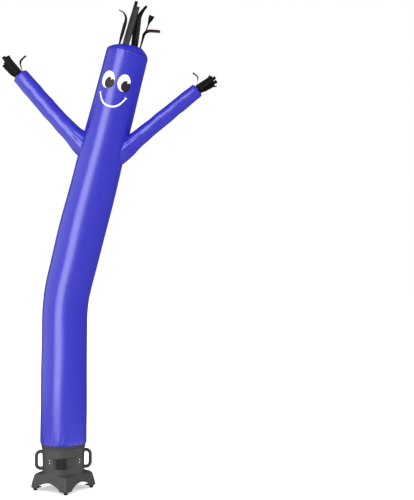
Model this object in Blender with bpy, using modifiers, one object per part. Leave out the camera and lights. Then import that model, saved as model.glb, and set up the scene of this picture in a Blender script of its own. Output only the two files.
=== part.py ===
"""Inflatable air dancer clamped on its blower, in metres, +Z up.

The blower stands square to the axes with its front foot towards -Y and its handles along X.
The dancer is planar: its lean and both arms lie in one upright plane, turned a little about Z.
The whole object hangs on one root empty that puts the middle of its box over the origin.
"""

import math

import bmesh
import bpy
import numpy as np
from mathutils import Vector

# ---------------------------------------------------------------- driving dimensions
FIT_GAP = 0.0004          # clearance between hard pieces that touch
CLOTH = 0.0012            # thickness of the blue nylon
RIBBON = 0.0010           # thickness of the black strips and of the face patches

# dancer: the plane it dances in, and the centre line of its tube
DANCER_TURN = math.radians(-17.2)
TUBE_FOOT = 0.35          # the centre line is upright up to here
BEND_START = 1.14         # height where the tube starts to lean over
BEND_RADIUS = 1.25
BASE_LEAN = math.radians(0.6)
HEAD_LEAN = math.radians(14.5)
TUBE_TOP = 3.015          # length of the centre line from the floor to the head seam
TUBE_SIDES = 36

# radius of the tube, by its distance along the centre line: the hem runs up inside the strap,
# folds out over it and bags down a little before the tube swells to its full width
HEM_ROWS = (              # radius, height
    (0.1469, 0.2975),
    (0.1469, 0.3233),
    (0.1515, 0.3256),
    (0.1529, 0.3238),
    (0.1540, 0.3150),
    (0.1549, 0.3170),
    (0.1560, 0.3270),
    (0.1565, 0.3500),
)
BODY_ROWS = (             # radius, distance along the centre line
    (0.1545, 0.700),
    (0.1520, 1.040),
    (0.1525, 1.140),
    (0.1535, 1.240),
    (0.1545, 1.340),
    (0.1560, 1.445),
    (0.1585, 1.700),
    (0.1540, 2.150),
    (0.1500, 2.480),
    (0.1442, 2.860),
    (0.1420, 3.001),
    (0.1390, 3.015),
)

# head cap: a dome with a vent in its crown
CAP_EDGE = 0.1365
CAP_RISE = 0.052
CAP_POWER = 3.0
CAP_SKEW = 0.20           # the dome stands higher at the right by this share, lower at the left
CAP_RINGS = 5
VENT_RADIUS = 0.085

# arms: shoulder and hand in the dancer's plane (x, z), heading from upright at both ends
ARM_SIDES = 24
ARMS = (                  # name, shoulder, hand, two headings, two radii
    ("arm_left", (0.112, 2.366), (-0.298, 2.814), -46.4, -41.5, 0.0630, 0.0560),
    ("arm_right", (0.444, 2.326), (0.913, 2.700), 51.65, 51.65, 0.0555, 0.0480),
)
ARM_ROOT = 0.110          # how far the sleeve's line runs on into the tube before it is trimmed
SLEEVE_ROWS = (           # fraction of the arm's length, share of the width that the shoulder flares
    (0.00, 0.22),
    (0.06, 0.12),
    (0.14, 0.04),
    (0.30, 0.00),
    (0.60, 0.00),
    (0.85, 0.00),
)
HAND_ROWS = (             # distance past the hand line, narrowing
    (-0.012, 0.0000),
    (-0.003, 0.0012),
    (0.002, 0.0050),
    (0.006, 0.0130),
)
HAND_VENT = 0.0395
HAND_VENT_PAST = 0.008    # how far past the hand line the vent lies
OPENING_INSET = 0.0036    # the air opening in the tube is this much smaller than the sleeve

# face, measured along the tube below the head seam and round it from the front
EYE_DROP = 0.221
EYE_ANGLE = math.radians(22.3)
EYE_HEIGHT = 0.119
EYE_WIDTHS = (0.096, 0.089)
PUPIL_HEIGHT = 0.074
PUPIL_WIDTH = 0.064
PUPIL_ACROSS = 0.0155
PUPIL_DOWN = 0.0190
PUPIL_TILT = math.radians(11)
NOTCH_ANGLE = math.radians(78)
NOTCH_DEPTH = 0.50
NOTCH_SPREAD = 0.20
SMILE_ANGLE = math.radians(37)
SMILE_TOP = 0.312
SMILE_DROP = 0.082
SMILE_POWER = 2.4
SMILE_WIDTH = 0.0120
SMILE_END_WIDTH = 0.0080
SMILE_TICK = 0.021
TICK_SHARE = 0.985        # the ticks lie beyond this share of the half length
PATCH_LIFT = 0.0010

# strips: around = place on the vent ring (0 right or upper side, 90 back, 270 front); the heading
# goes from start to end about the place "bend", measured from the axis of the head or hand;
# lean = towards the front; the edge swings to "turn" out of the dancer's plane about "twist"
STRIP_COLUMNS = ("name", "around", "length", "width", "start", "end", "bend", "lean", "twist", "turn", "tip")
HAIR = (
    ("curl", 220, 0.254, 0.024, 2, -80, 0.77, 3, 0.15, -10, 0.25),
    ("front", 262, 0.262, 0.047, 3, 3, 0.50, 5, 0.10, -4, 0.95),
    ("sheen", 315, 0.206, 0.022, -4, -6, 0.60, 7, 0.10, 8, 0.80),
    ("drop", 352, 0.223, 0.022, 1, 82, 0.55, 5, 0.45, 25, 0.95),
    ("fan", 24, 0.252, 0.037, 3, 6, 0.50, -4, 0.88, 12, 1.00),
    ("back", 76, 0.325, 0.050, -8, 24, 0.72, -5, 0.10, 6, 0.36),
    ("side", 124, 0.333, 0.028, -1, -1, 0.50, -6, 0.10, -6, 0.80),
)
FRINGE_LEFT = (
    ("upper", 300, 0.146, 0.030, 1, 20, 0.85, 3, 0.10, 0, 1.00),
    ("flyer", 352, 0.130, 0.014, 25, 90, 0.57, -3, 0.42, 40, 0.90),
    ("rear", 92, 0.156, 0.030, -9, -9, 0.50, -5, 0.10, 4, 0.90),
    ("curve", 133, 0.146, 0.016, 2, -32, 0.66, -2, 0.10, 10, 0.70),
    ("lowest", 160, 0.082, 0.014, 4, -20, 0.60, 0, 0.10, 20, 0.40),
    ("lower", 197, 0.124, 0.026, -2, -4, 0.50, 3, 0.24, -10, 0.85),
    ("front", 248, 0.158, 0.030, 6, 6, 0.50, 9, 0.10, 0, 0.80),
)
FRINGE_RIGHT = (
    ("upper", 300, 0.126, 0.026, -7, 24, 0.85, 3, 0.10, 0, 1.00),
    ("flyer", 352, 0.112, 0.012, 36, 104, 0.57, -3, 0.42, 40, 0.90),
    ("rear", 92, 0.140, 0.026, -14, -12, 0.50, -5, 0.10, 4, 0.90),
    ("curve", 133, 0.124, 0.014, -8, -44, 0.66, -2, 0.10, 10, 0.70),
    ("lowest", 160, 0.078, 0.012, -4, -36, 0.60, 0, 0.10, 20, 0.40),
    ("lower", 197, 0.110, 0.023, -11, -13, 0.50, 3, 0.24, -10, 0.85),
    ("front", 248, 0.144, 0.026, -3, -3, 0.50, 9, 0.10, 0, 0.80),
)
HAIR_RING = 0.077
FRINGE_RING = 0.0335
HAIR_TUCK = 0.022         # how far each strip runs down inside its vent
FRINGE_TUCK = 0.016
STRIP_ROWS = 11
BEND_SPREAD = 0.22        # half the share of a strip over which its heading turns
TWIST_SPREAD = 0.20
TIP_START = 0.45

# blower: barrel, turned
SIDES = 60
BARREL_FOOT = 0.1201
BARREL_OUTER = (          # radius, height, from the rim down the outer side
    (0.1444, 0.3471),
    (0.1454, 0.3461),
    (0.1454, 0.3393),
    (0.1489, 0.3370),
    (0.1489, 0.3299),
    (0.1440, 0.3280),
    (0.1438, 0.2965),
    (0.1481, 0.2942),
    (0.1481, 0.2872),
    (0.1436, 0.2848),
    (0.1433, 0.2789),
    (0.1392, BARREL_FOOT),
)
BARREL_INNER = (          # radius, height, back up the bore
    (0.1352, BARREL_FOOT),
    (0.1392, 0.2789),
    (0.1418, 0.3471),
)
RIM_NOTCH_ANGLE = 28.0
RIM_NOTCH_RADIUS = 0.1433
RIM_NOTCH_WIDTH = 0.009
RIM_NOTCH_DEPTH = 0.005
RIM_NOTCH_HEIGHT = 0.020

# blower: base skirt, a rounded square with its corners over the feet
SHOULDER_TOP = 0.1198
SKIRT_ROWS = (            # height, half the width across the flats, corner radius
    (0.0186, 0.1576, 0.0204),
    (0.0248, 0.1603, 0.0214),
    (0.0620, 0.1542, 0.0219),
    (0.1033, 0.1450, 0.0224),
    (0.1095, 0.1423, 0.0286),
)
SHOULDER_ROWS = (         # radius, height
    (0.1428, 0.1183),
    (0.1408, SHOULDER_TOP),
)
SKIRT_WALL = 0.0040
FLOOR_TOP = 0.0232
BORE_RADIUS = 0.1352
ARCH_HALF = 0.1020
ARCH_FOOT = 0.0165
ARCH_RISE = 0.0470
ARCH_POWER = 1.6
FOOT_CIRCLE = 0.1897
FOOT_RADIUS = 0.0130
FOOT_HEIGHT = 0.0120
BOSS_BOTTOM = 0.0124
BOSS_RADIUS = 0.0160
BOSS_FLARE = 0.0015
BOSS_HEIGHT = 0.008

# blower: handles, strap and trim
HANDLE_RADIUS = 0.0115
HANDLE_REACH = 0.1824
HANDLE_LOW = 0.1460
HANDLE_HIGH = 0.2606
HANDLE_CORNER = 0.030
HANDLE_START = 0.120      # the bar starts inside the barrel and is trimmed to it
STRAP_RADIUS = 0.1481
STRAP_THICKNESS = 0.0016
STRAP_HEIGHTS = (0.2971, 0.3213)
LABEL_HALF_ANGLE = 32.5
LABEL_HEIGHTS = (0.1575, 0.2324)
LABEL_THICKNESS = 0.0010
SCREW_RADIUS = 0.0034
SCREW_HEIGHT = 0.0018
BARREL_SCREWS = (("upper", 0.2138), ("lower", 0.1952))
COLLAR_SCREW = 0.3335
OUTLET_GUARD = (0.1397, 0.3368)   # radius, height
INTAKE_GUARD = (0.1344, 0.1240)
GUARD_RIB = 0.005
GLAND_HEIGHT = 0.155
GUARD_BARS = (            # inner and outer radius of each ring of slots
    (0.030, 0.058),
    (0.064, 0.092),
    (0.098, 0.126),
)

MATERIALS = {             # colour, roughness, metallic
    "blue_nylon": ((0.048, 0.044, 0.52), 0.45, 0.0),
    "black_nylon": ((0.012, 0.012, 0.012), 0.40, 0.0),
    "white_patch": ((0.86, 0.86, 0.88), 0.60, 0.0),
    "dark_patch": ((0.030, 0.028, 0.024), 0.60, 0.0),
    "grey_moulding": ((0.066, 0.066, 0.066), 0.55, 0.0),
    "strap_web": ((0.032, 0.032, 0.034), 0.80, 0.0),
    "label_plate": ((0.025, 0.025, 0.026), 0.22, 0.0),
    "black_rubber": ((0.010, 0.010, 0.010), 0.70, 0.0),
    "bright_steel": ((0.62, 0.62, 0.63), 0.28, 1.0),
    "black_plastic": ((0.016, 0.016, 0.016), 0.50, 0.0),
}

# ---------------------------------------------------------------- scene and helpers
for old in list(bpy.data.objects):
    bpy.data.objects.remove(old, do_unlink=True)

parts = bpy.data.collections.new("air_dancer")
cutters = bpy.data.collections.new("cutters")
bpy.context.scene.collection.children.link(parts)
bpy.context.scene.collection.children.link(cutters)

root = bpy.data.objects.new("air_dancer_root", None)
parts.objects.link(root)
dancer = bpy.data.objects.new("dancer_plane", None)
dancer.parent = root
dancer.rotation_euler = (0.0, 0.0, DANCER_TURN)
parts.objects.link(dancer)


def material(name):
    """The Principled material of this name, made the first time it is asked for."""
    if name in bpy.data.materials:
        return bpy.data.materials[name]
    colour, roughness, metallic = MATERIALS[name]
    made = bpy.data.materials.new(name)
    made.use_nodes = True
    shader = made.node_tree.nodes["Principled BSDF"]
    shader.inputs["Base Color"].default_value = (*colour, 1.0)
    shader.inputs["Roughness"].default_value = roughness
    shader.inputs["Metallic"].default_value = metallic
    return made


def add_part(name, mesh, finish, parent=root):
    """Put a mesh into the parts collection under its parent empty, with one finish."""
    piece = bpy.data.objects.new(name, mesh)
    piece.parent = parent
    if not mesh.materials:
        mesh.materials.append(material(finish))
    parts.objects.link(piece)
    return piece


def add_cutter(name, mesh, parent=root):
    """Put a mesh into the cutters collection, where it only guides a Boolean."""
    cutter = bpy.data.objects.new(name, mesh)
    cutter.parent = parent
    cutter.hide_render = True
    cutter.display_type = "WIRE"
    cutters.objects.link(cutter)
    return cutter


def shade(mesh, angle=35.0):
    mesh.shade_smooth()
    mesh.set_sharp_from_angle(angle=math.radians(angle))
    return mesh


def loft(name, rows, closed_round=True, capped=False, centre=None):
    """Mesh of quads over rows of points (rows, columns, 3); each row may close on itself,
    both ends may be capped with a flat face, or the last row may close on a centre point."""
    rows = np.asarray(rows, dtype=float)
    count, sides = rows.shape[:2]
    points = [tuple(point) for point in rows.reshape(-1, 3)]
    spans = sides if closed_round else sides - 1
    faces = []
    for row in range(count - 1):
        for side in range(spans):
            after = (side + 1) % sides
            low = row * sides
            high = low + sides
            faces.append((low + side, low + after, high + after, high + side))
    if capped:
        faces.append(tuple(reversed(range(sides))))
        faces.append(tuple(range((count - 1) * sides, count * sides)))
    if centre is not None:
        points.append(tuple(centre))
        last = (count - 1) * sides
        for side in range(sides):
            faces.append((last + side, last + (side + 1) % sides, len(points) - 1))
    mesh = bpy.data.meshes.new(name)
    mesh.from_pydata(points, [], faces)
    work = bmesh.new()
    work.from_mesh(mesh)
    if capped:
        bmesh.ops.recalc_face_normals(work, faces=work.faces)
    work.to_mesh(mesh)
    work.free()
    return shade(mesh)


def thicken(piece, thickness, offset=0.0):
    shell = piece.modifiers.new("thickness", "SOLIDIFY")
    shell.thickness = thickness
    shell.offset = offset
    shell.use_even_offset = True
    return shell


def combine(piece, other, operation):
    step = piece.modifiers.new(operation.lower(), "BOOLEAN")
    step.operation = operation
    step.object = other
    step.solver = "EXACT"
    return step


def turned(name, profile, finish, angle=360.0, sides=SIDES):
    """A ring or bush: a closed profile of (radius, height) points, outer side first and
    running down, turned about Z by a Screw modifier."""
    points = [(radius, 0.0, height) for radius, height in profile]
    edges = [(index, (index + 1) % len(points)) for index in range(len(points))]
    mesh = bpy.data.meshes.new(name)
    mesh.from_pydata(points, edges, [])
    piece = add_part(name, mesh, finish)
    screw = piece.modifiers.new("turn", "SCREW")
    screw.angle = math.radians(angle)
    screw.steps = sides
    screw.render_steps = sides
    screw.use_merge_vertices = True
    screw.merge_threshold = 0.00001
    return piece


def cylinder_mesh(name, radius, depth, top_radius=None, sides=24):
    """A plain cylinder or cone on the XY plane, growing up from z = 0."""
    work = bmesh.new()
    bmesh.ops.create_cone(
        work,
        cap_ends=True,
        segments=sides,
        radius1=radius,
        radius2=radius if top_radius is None else top_radius,
        depth=depth,
    )
    bmesh.ops.translate(work, verts=work.verts, vec=(0.0, 0.0, depth / 2))
    mesh = bpy.data.meshes.new(name)
    work.to_mesh(mesh)
    work.free()
    return shade(mesh)


# ---------------------------------------------------------------- dancer: the inflated tube
BEND_LENGTH = BEND_RADIUS * (HEAD_LEAN - BASE_LEAN)
BACK = np.array([0.0, 1.0, 0.0])


def centre_line(along):
    """Point and lean of the tube's centre line at a distance along it: upright on the collar,
    a first straight run, one arc, then straight on at the head's lean."""
    rise = min(max(along - TUBE_FOOT, 0.0), BEND_START - TUBE_FOOT)
    x = rise * math.sin(BASE_LEAN)
    z = min(along, TUBE_FOOT) + rise * math.cos(BASE_LEAN)
    lean = BASE_LEAN if along > TUBE_FOOT else 0.0
    if along > BEND_START:
        turn = min(along - BEND_START, BEND_LENGTH) / BEND_RADIUS
        lean = BASE_LEAN + turn
        x += BEND_RADIUS * (math.cos(BASE_LEAN) - math.cos(lean))
        z += BEND_RADIUS * (math.sin(lean) - math.sin(BASE_LEAN))
        rest = max(along - BEND_START - BEND_LENGTH, 0.0)
        x += rest * math.sin(lean)
        z += rest * math.cos(lean)
    return np.array([x, 0.0, z]), lean


def ring(centre, axis_heading, radius, sides):
    """Circle of points square to an axis in the dancer's plane, from the front round by the right."""
    across = np.array([math.cos(axis_heading), 0.0, -math.sin(axis_heading)])
    angles = 2 * math.pi * np.arange(sides) / sides
    return (
        centre
        + radius * np.sin(angles)[:, None] * across
        - radius * np.cos(angles)[:, None] * BACK
    )


def tube_rings(extra=0.0, rows=HEM_ROWS + BODY_ROWS):
    rings = []
    for radius, along in rows:
        centre, lean = centre_line(along)
        rings.append(ring(centre, lean, radius + extra, TUBE_SIDES))
    return rings


def tube_radius(along):
    """Radius of the tube between its rows, in straight steps as the solid has them."""
    heights = [row[1] for row in BODY_ROWS]
    return float(np.interp(along, heights, [row[0] for row in BODY_ROWS]))


def on_tube(along, angle, lift):
    """Point on the outside of the tube, lifted off it, at an angle round it from the front."""
    centre, lean = centre_line(along)
    across = np.array([math.cos(lean), 0.0, -math.sin(lean)])
    reach = tube_radius(along) + CLOTH / 2 + lift
    return centre + reach * (math.sin(angle) * across - math.cos(angle) * BACK)


body_tube = add_part("body_tube", loft("body_tube", tube_rings()), "blue_nylon", dancer)
thicken(body_tube, CLOTH)

# ---------------------------------------------------------------- dancer: sleeves
tube_guide = add_cutter(
    "tube_guide", loft("tube_guide", tube_rings(CLOTH / 2 + FIT_GAP, BODY_ROWS), capped=True), dancer
)


def arm_line(fraction, shoulder, hand, heading_in, heading_out):
    """Point and heading on the arm: a cubic from shoulder to hand with the given headings."""
    start = np.array([shoulder[0], 0.0, shoulder[1]])
    end = np.array([hand[0], 0.0, hand[1]])
    length = float(np.linalg.norm(end - start))
    first = math.radians(heading_in)
    last = math.radians(heading_out)
    leave = length * np.array([math.sin(first), 0.0, math.cos(first)])
    arrive = length * np.array([math.sin(last), 0.0, math.cos(last)])
    if fraction < 0:
        return start + fraction * leave, first
    if fraction > 1:
        return end + (fraction - 1) * arrive, last
    t = fraction
    point = (
        (2 * t**3 - 3 * t**2 + 1) * start
        + (t**3 - 2 * t**2 + t) * leave
        + (3 * t**2 - 2 * t**3) * end
        + (t**3 - t**2) * arrive
    )
    return point, first + (last - first) * t


def arm_rings(arm, extra=0.0):
    """Rings of one sleeve from inside the tube to the vent at its hand."""
    name, shoulder, hand, heading_in, heading_out, wide, narrow = arm
    length = math.dist(shoulder, hand)
    rings = []
    point, heading = arm_line(-ARM_ROOT / length, shoulder, hand, heading_in, heading_out)
    rings.append(ring(point, heading, wide * (1 + SLEEVE_ROWS[0][1]) + extra, ARM_SIDES))
    for fraction, flare in SLEEVE_ROWS:
        point, heading = arm_line(fraction, shoulder, hand, heading_in, heading_out)
        radius = wide + (narrow - wide) * fraction + wide * flare
        rings.append(ring(point, heading, radius + extra, ARM_SIDES))
    for past, narrowing in HAND_ROWS:
        point, heading = arm_line(1 + past / length, shoulder, hand, heading_in, heading_out)
        rings.append(ring(point, heading, narrow - narrowing + extra, ARM_SIDES))
    point, heading = arm_line(1 + HAND_VENT_PAST / length, shoulder, hand, heading_in, heading_out)
    rings.append(ring(point, heading, HAND_VENT * narrow / ARMS[0][6], ARM_SIDES))
    return rings


for arm in ARMS:
    name = arm[0]
    rings = arm_rings(arm)
    sleeve = add_part(name, loft(name, rings), "blue_nylon", dancer)
    thicken(sleeve, CLOTH)
    combine(sleeve, tube_guide, "DIFFERENCE")
    core_rings = arm_rings(arm, -OPENING_INSET)[:4]
    core = add_cutter(name + "_opening", loft(name + "_opening", core_rings, capped=True), dancer)
    combine(body_tube, core, "DIFFERENCE")

# ---------------------------------------------------------------- dancer: head cap
head_centre, head_lean = centre_line(TUBE_TOP)
head_axis = np.array([math.sin(head_lean), 0.0, math.cos(head_lean)])


def cap_height(radius):
    """Height of the dome over the head seam, flat in the middle and steep at the edge."""
    return CAP_RISE * (1 - (radius / BODY_ROWS[-1][0]) ** CAP_POWER)


def cap_ring(radius):
    """Ring of the dome, lifted off the seam a little more at the right than at the left."""
    points = ring(head_centre, head_lean, radius, TUBE_SIDES)
    angles = 2 * math.pi * np.arange(TUBE_SIDES) / TUBE_SIDES
    lift = cap_height(radius) * (1 + CAP_SKEW * np.sin(angles))
    return points + lift[:, None] * head_axis


cap_rings = [cap_ring(radius) for radius in np.linspace(CAP_EDGE, VENT_RADIUS, CAP_RINGS)]
head_cap = add_part("head_cap", loft("head_cap", cap_rings), "blue_nylon", dancer)
thicken(head_cap, CLOTH)


# ---------------------------------------------------------------- dancer: face patches
def patch(name, centre_along, centre_angle, outline, lift, finish, sides=24):
    """A flat applique curved onto the tube: rings of its outline, drawn in to its middle."""
    angles = 2 * math.pi * np.arange(sides) / sides
    radius = tube_radius(centre_along)
    rings = []
    for share in (1.0, 0.72, 0.38):
        points = []
        for angle in angles:
            across, up = outline(angle)
            points.append(
                on_tube(centre_along + share * up, centre_angle + share * across / radius, lift)
            )
        rings.append(points)
    middle = on_tube(centre_along, centre_angle, lift)
    piece = add_part(name, loft(name, rings, centre=middle), finish, dancer)
    thicken(piece, RIBBON, offset=1.0)
    return piece


def oval(width, height):
    return lambda angle: (width / 2 * math.cos(angle), height / 2 * math.sin(angle))


def pupil_outline(angle):
    """Tilted oval with a small notch in its top."""
    notch = 1 - NOTCH_DEPTH * math.exp(-(((angle - NOTCH_ANGLE) / NOTCH_SPREAD) ** 2))
    across = notch * PUPIL_WIDTH / 2 * math.cos(angle)
    up = notch * PUPIL_HEIGHT / 2 * math.sin(angle)
    return (
        across * math.cos(PUPIL_TILT) + up * math.sin(PUPIL_TILT),
        up * math.cos(PUPIL_TILT) - across * math.sin(PUPIL_TILT),
    )


eye_along = TUBE_TOP - EYE_DROP
eye_radius = tube_radius(eye_along)
for side, eye_width in zip((-1, 1), EYE_WIDTHS):
    word = "left" if side < 0 else "right"
    patch(
        "eye_" + word, eye_along, side * EYE_ANGLE, oval(eye_width, EYE_HEIGHT), PATCH_LIFT, "white_patch"
    )
    patch(
        "pupil_" + word,
        eye_along - PUPIL_DOWN,
        side * EYE_ANGLE + PUPIL_ACROSS / eye_radius,
        pupil_outline,
        2 * PATCH_LIFT + RIBBON,
        "dark_patch",
        sides=28,
    )


def smile_rows():
    """Two edges of the smile: a bowed line, thicker in its middle, with a short tick across each end."""
    middle = np.linspace(-0.96, 0.96, 22)
    shares = np.concatenate(([-1.0, -TICK_SHARE], middle, [TICK_SHARE, 1.0]))
    bottom = TUBE_TOP - SMILE_TOP - SMILE_DROP
    rows = []
    for share in shares:
        angle = share * SMILE_ANGLE
        along = bottom + SMILE_DROP * abs(share) ** SMILE_POWER
        radius = tube_radius(along)
        slope = SMILE_DROP * SMILE_POWER * abs(share) ** (SMILE_POWER - 1) * np.sign(share)
        run = SMILE_ANGLE * radius
        size = math.hypot(run, slope)
        width = SMILE_END_WIDTH + (SMILE_WIDTH - SMILE_END_WIDTH) * (1 - share**2)
        if abs(share) >= TICK_SHARE:
            width = SMILE_TICK
        side_step = -slope / size * width / 2
        up_step = run / size * width / 2
        rows.append(
            [
                on_tube(along + end * up_step, angle + end * side_step / radius, PATCH_LIFT)
                for end in (-1.0, 0.0, 1.0)
            ]
        )
    return rows


smile = add_part("smile", loft("smile", smile_rows(), closed_round=False), "white_patch", dancer)
thicken(smile, RIBBON, offset=-1.0)


# ---------------------------------------------------------------- dancer: hair and hand fringes
def smooth(value):
    value = np.clip(value, 0.0, 1.0)
    return value * value * (3 - 2 * value)


def strip_rows(vent, axis, across, ring_radius, tuck, row):
    """Rows of one strip: it stands on the vent ring with its face to the axis, runs out of the
    vent, bends about one place and swings its edge about another."""
    around = math.radians(row["around"])
    whole = row["length"] + tuck
    out = np.linspace(0.0, 1.0, STRIP_ROWS)
    free = np.clip((out * whole - tuck) / row["length"], 0.0, 1.0)
    share = smooth((free - row["bend"] + BEND_SPREAD) / (2 * BEND_SPREAD))
    heading = np.radians(row["start"] + (row["end"] - row["start"]) * share) * smooth(free * 6)
    lean = np.radians(row["lean"]) * smooth(free * 6)
    forward = np.cos(heading)[:, None] * axis + np.sin(heading)[:, None] * across
    direction = np.cos(lean)[:, None] * forward - np.sin(lean)[:, None] * BACK
    steps = whole / (STRIP_ROWS - 1) * (direction[1:] + direction[:-1]) / 2
    foot = vent + ring_radius * (math.cos(around) * across + math.sin(around) * BACK) - tuck * axis
    line = foot + np.vstack((np.zeros(3), np.cumsum(steps, axis=0)))
    in_plane = np.cos(heading)[:, None] * across - np.sin(heading)[:, None] * axis
    out_of_plane = np.sin(lean)[:, None] * forward + np.cos(lean)[:, None] * BACK
    first = math.degrees(math.atan2(math.cos(around), -math.sin(around)))
    first = (first + 90.0) % 180.0 - 90.0
    swing = smooth((free - row["twist"] + TWIST_SPREAD) / (2 * TWIST_SPREAD))
    turn = np.radians(first + (row["turn"] - first) * swing)
    edge = np.cos(turn)[:, None] * in_plane + np.sin(turn)[:, None] * out_of_plane
    width = row["width"] * (1 - (1 - row["tip"]) * smooth((free - TIP_START) / (1 - TIP_START)))
    return np.stack((line - edge * width[:, None] / 2, line + edge * width[:, None] / 2), axis=1)


def add_strips(prefix, table, vent, axis, across, ring_radius, tuck):
    for values in table:
        row = dict(zip(STRIP_COLUMNS, values))
        name = prefix + row["name"]
        rows = strip_rows(vent, axis, across, ring_radius, tuck, row)
        strip = add_part(name, loft(name, rows, closed_round=False), "black_nylon", dancer)
        thicken(strip, RIBBON)


head_across = np.array([math.cos(head_lean), 0.0, -math.sin(head_lean)])
crown = head_centre + cap_height(VENT_RADIUS) * head_axis
add_strips("hair_", HAIR, crown, head_axis, head_across, HAIR_RING, HAIR_TUCK)

for arm, table in zip(ARMS, (FRINGE_LEFT, FRINGE_RIGHT)):
    heading = math.radians(arm[4])
    side = 1 if heading < 0 else -1
    hand_axis = np.array([math.sin(heading), 0.0, math.cos(heading)])
    upward = side * np.array([math.cos(heading), 0.0, -math.sin(heading)])
    vent = np.array([arm[2][0], 0.0, arm[2][1]]) + HAND_VENT_PAST * hand_axis
    prefix = "fringe_" + arm[0].split("_")[1] + "_"
    add_strips(prefix, table, vent, hand_axis, upward, FRINGE_RING * arm[6] / ARMS[0][6], FRINGE_TUCK)

# ---------------------------------------------------------------- blower: barrel
barrel = turned("barrel", BARREL_OUTER + BARREL_INNER, "grey_moulding")


def barrel_radius(height):
    """Outer radius of the tapered part of the barrel."""
    low, high = BARREL_OUTER[-1], BARREL_OUTER[-2]
    return low[0] + (high[0] - low[0]) * (height - low[1]) / (high[1] - low[1])


def place_round(piece, azimuth, radius, height):
    """Stand a piece at an azimuth (degrees from the front, towards +X) with its Z axis pointing out."""
    turn = math.radians(azimuth - 90.0)
    piece.location = (radius * math.cos(turn), radius * math.sin(turn), height)
    piece.rotation_euler = (0.0, math.pi / 2, turn)


notch_angles = [sign * RIM_NOTCH_ANGLE + half for half in (0.0, 180.0) for sign in (-1, 1)]
for index, azimuth in enumerate(notch_angles):
    work = bmesh.new()
    bmesh.ops.create_cube(work, size=1.0)
    size = (2 * RIM_NOTCH_DEPTH, RIM_NOTCH_WIDTH, RIM_NOTCH_HEIGHT)
    bmesh.ops.scale(work, vec=size, verts=work.verts)
    notch_mesh = bpy.data.meshes.new("notch")
    work.to_mesh(notch_mesh)
    work.free()
    notch = add_cutter("rim_notch_%d" % index, notch_mesh)
    place_round(notch, azimuth, RIM_NOTCH_RADIUS, BARREL_OUTER[0][1])
    combine(barrel, notch, "DIFFERENCE")


# ---------------------------------------------------------------- blower: base skirt
def rounded_square(half, corner, height, sides=64):
    """Outline of a square standing on its corners: straight flats joined by corner arcs, read at
    even angles round the middle."""
    reach = (half - corner) * math.sqrt(2.0)
    points = []
    for index in range(sides):
        angle = 2 * math.pi * index / sides
        local = (angle + math.pi / 4) % (math.pi / 2) - math.pi / 4
        flat = half / math.cos(math.pi / 4 - abs(local))
        touch = math.atan2(corner / math.sqrt(2.0), reach + corner / math.sqrt(2.0))
        if abs(local) < touch:
            inside = corner**2 - (reach * math.sin(local)) ** 2
            flat = reach * math.cos(local) + math.sqrt(max(inside, 0.0))
        points.append((flat * math.cos(angle), flat * math.sin(angle), height))
    return points


def circle_row(radius, height, sides=64):
    angles = 2 * math.pi * np.arange(sides) / sides
    return np.stack((radius * np.cos(angles), radius * np.sin(angles), np.full(sides, height)), axis=1)


skirt_rows = [rounded_square(half, corner, height) for height, half, corner in SKIRT_ROWS]
skirt_rows += [circle_row(radius, height) for radius, height in SHOULDER_ROWS]
base_skirt = add_part("base_skirt", loft("base_skirt", skirt_rows, capped=True), "grey_moulding")

cavity_rows = [
    rounded_square(half - SKIRT_WALL, corner - SKIRT_WALL, max(height, FLOOR_TOP))
    for height, half, corner in SKIRT_ROWS[1:4]
]
cavity_rows[0] = [(x, y, FLOOR_TOP) for x, y, height in cavity_rows[0]]
cavity_rows.append(circle_row(BORE_RADIUS, SHOULDER_TOP - 0.006))
cavity = add_cutter("skirt_cavity", loft("skirt_cavity", cavity_rows, capped=True))
bore = add_cutter("skirt_bore", cylinder_mesh("skirt_bore", BORE_RADIUS, 0.20, sides=SIDES))
bore.location = (0.0, 0.0, -0.03)

for index in range(4):
    boss_mesh = cylinder_mesh("boss", BOSS_RADIUS, BOSS_HEIGHT, BOSS_RADIUS + BOSS_FLARE)
    boss = add_cutter("foot_boss_%d" % index, boss_mesh)
    angle = index * math.pi / 2
    boss.location = (FOOT_CIRCLE * math.cos(angle), FOOT_CIRCLE * math.sin(angle), BOSS_BOTTOM)
    combine(base_skirt, boss, "UNION")
combine(base_skirt, cavity, "DIFFERENCE")
combine(base_skirt, bore, "DIFFERENCE")

arch_points = []
for step in range(17):
    share = -math.cos(math.pi * step / 16)
    rise = (1 - abs(share) ** ARCH_POWER) ** (1 / ARCH_POWER)
    arch_points.append((share * ARCH_HALF, ARCH_FOOT + ARCH_RISE * rise))
arch_points = [(-ARCH_HALF, -0.02)] + arch_points + [(ARCH_HALF, -0.02)]
for index, angle in enumerate((math.pi / 4, -math.pi / 4)):
    ends = [[(x, y, z) for x, z in arch_points] for y in (-0.25, 0.25)]
    arch = add_cutter("skirt_arch_%d" % index, loft("skirt_arch", ends, capped=True))
    arch.rotation_euler = (0.0, 0.0, angle)
    combine(base_skirt, arch, "DIFFERENCE")

# ---------------------------------------------------------------- blower: feet
foot_mesh = cylinder_mesh("foot", FOOT_RADIUS - 0.001, FOOT_HEIGHT, FOOT_RADIUS)
foot_mesh.materials.append(material("black_rubber"))
for index, word in enumerate(("right", "back", "left", "front")):
    foot = add_part("foot_" + word, foot_mesh, "black_rubber")
    angle = index * math.pi / 2
    foot.location = (FOOT_CIRCLE * math.cos(angle), FOOT_CIRCLE * math.sin(angle), 0.0)

# ---------------------------------------------------------------- blower: handles
barrel_guide = add_cutter(
    "barrel_guide",
    cylinder_mesh(
        "barrel_guide", barrel_radius(0.10) + FIT_GAP, 0.20, barrel_radius(0.30) + FIT_GAP, sides=SIDES
    ),
)
barrel_guide.location = (0.0, 0.0, 0.10)


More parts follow.
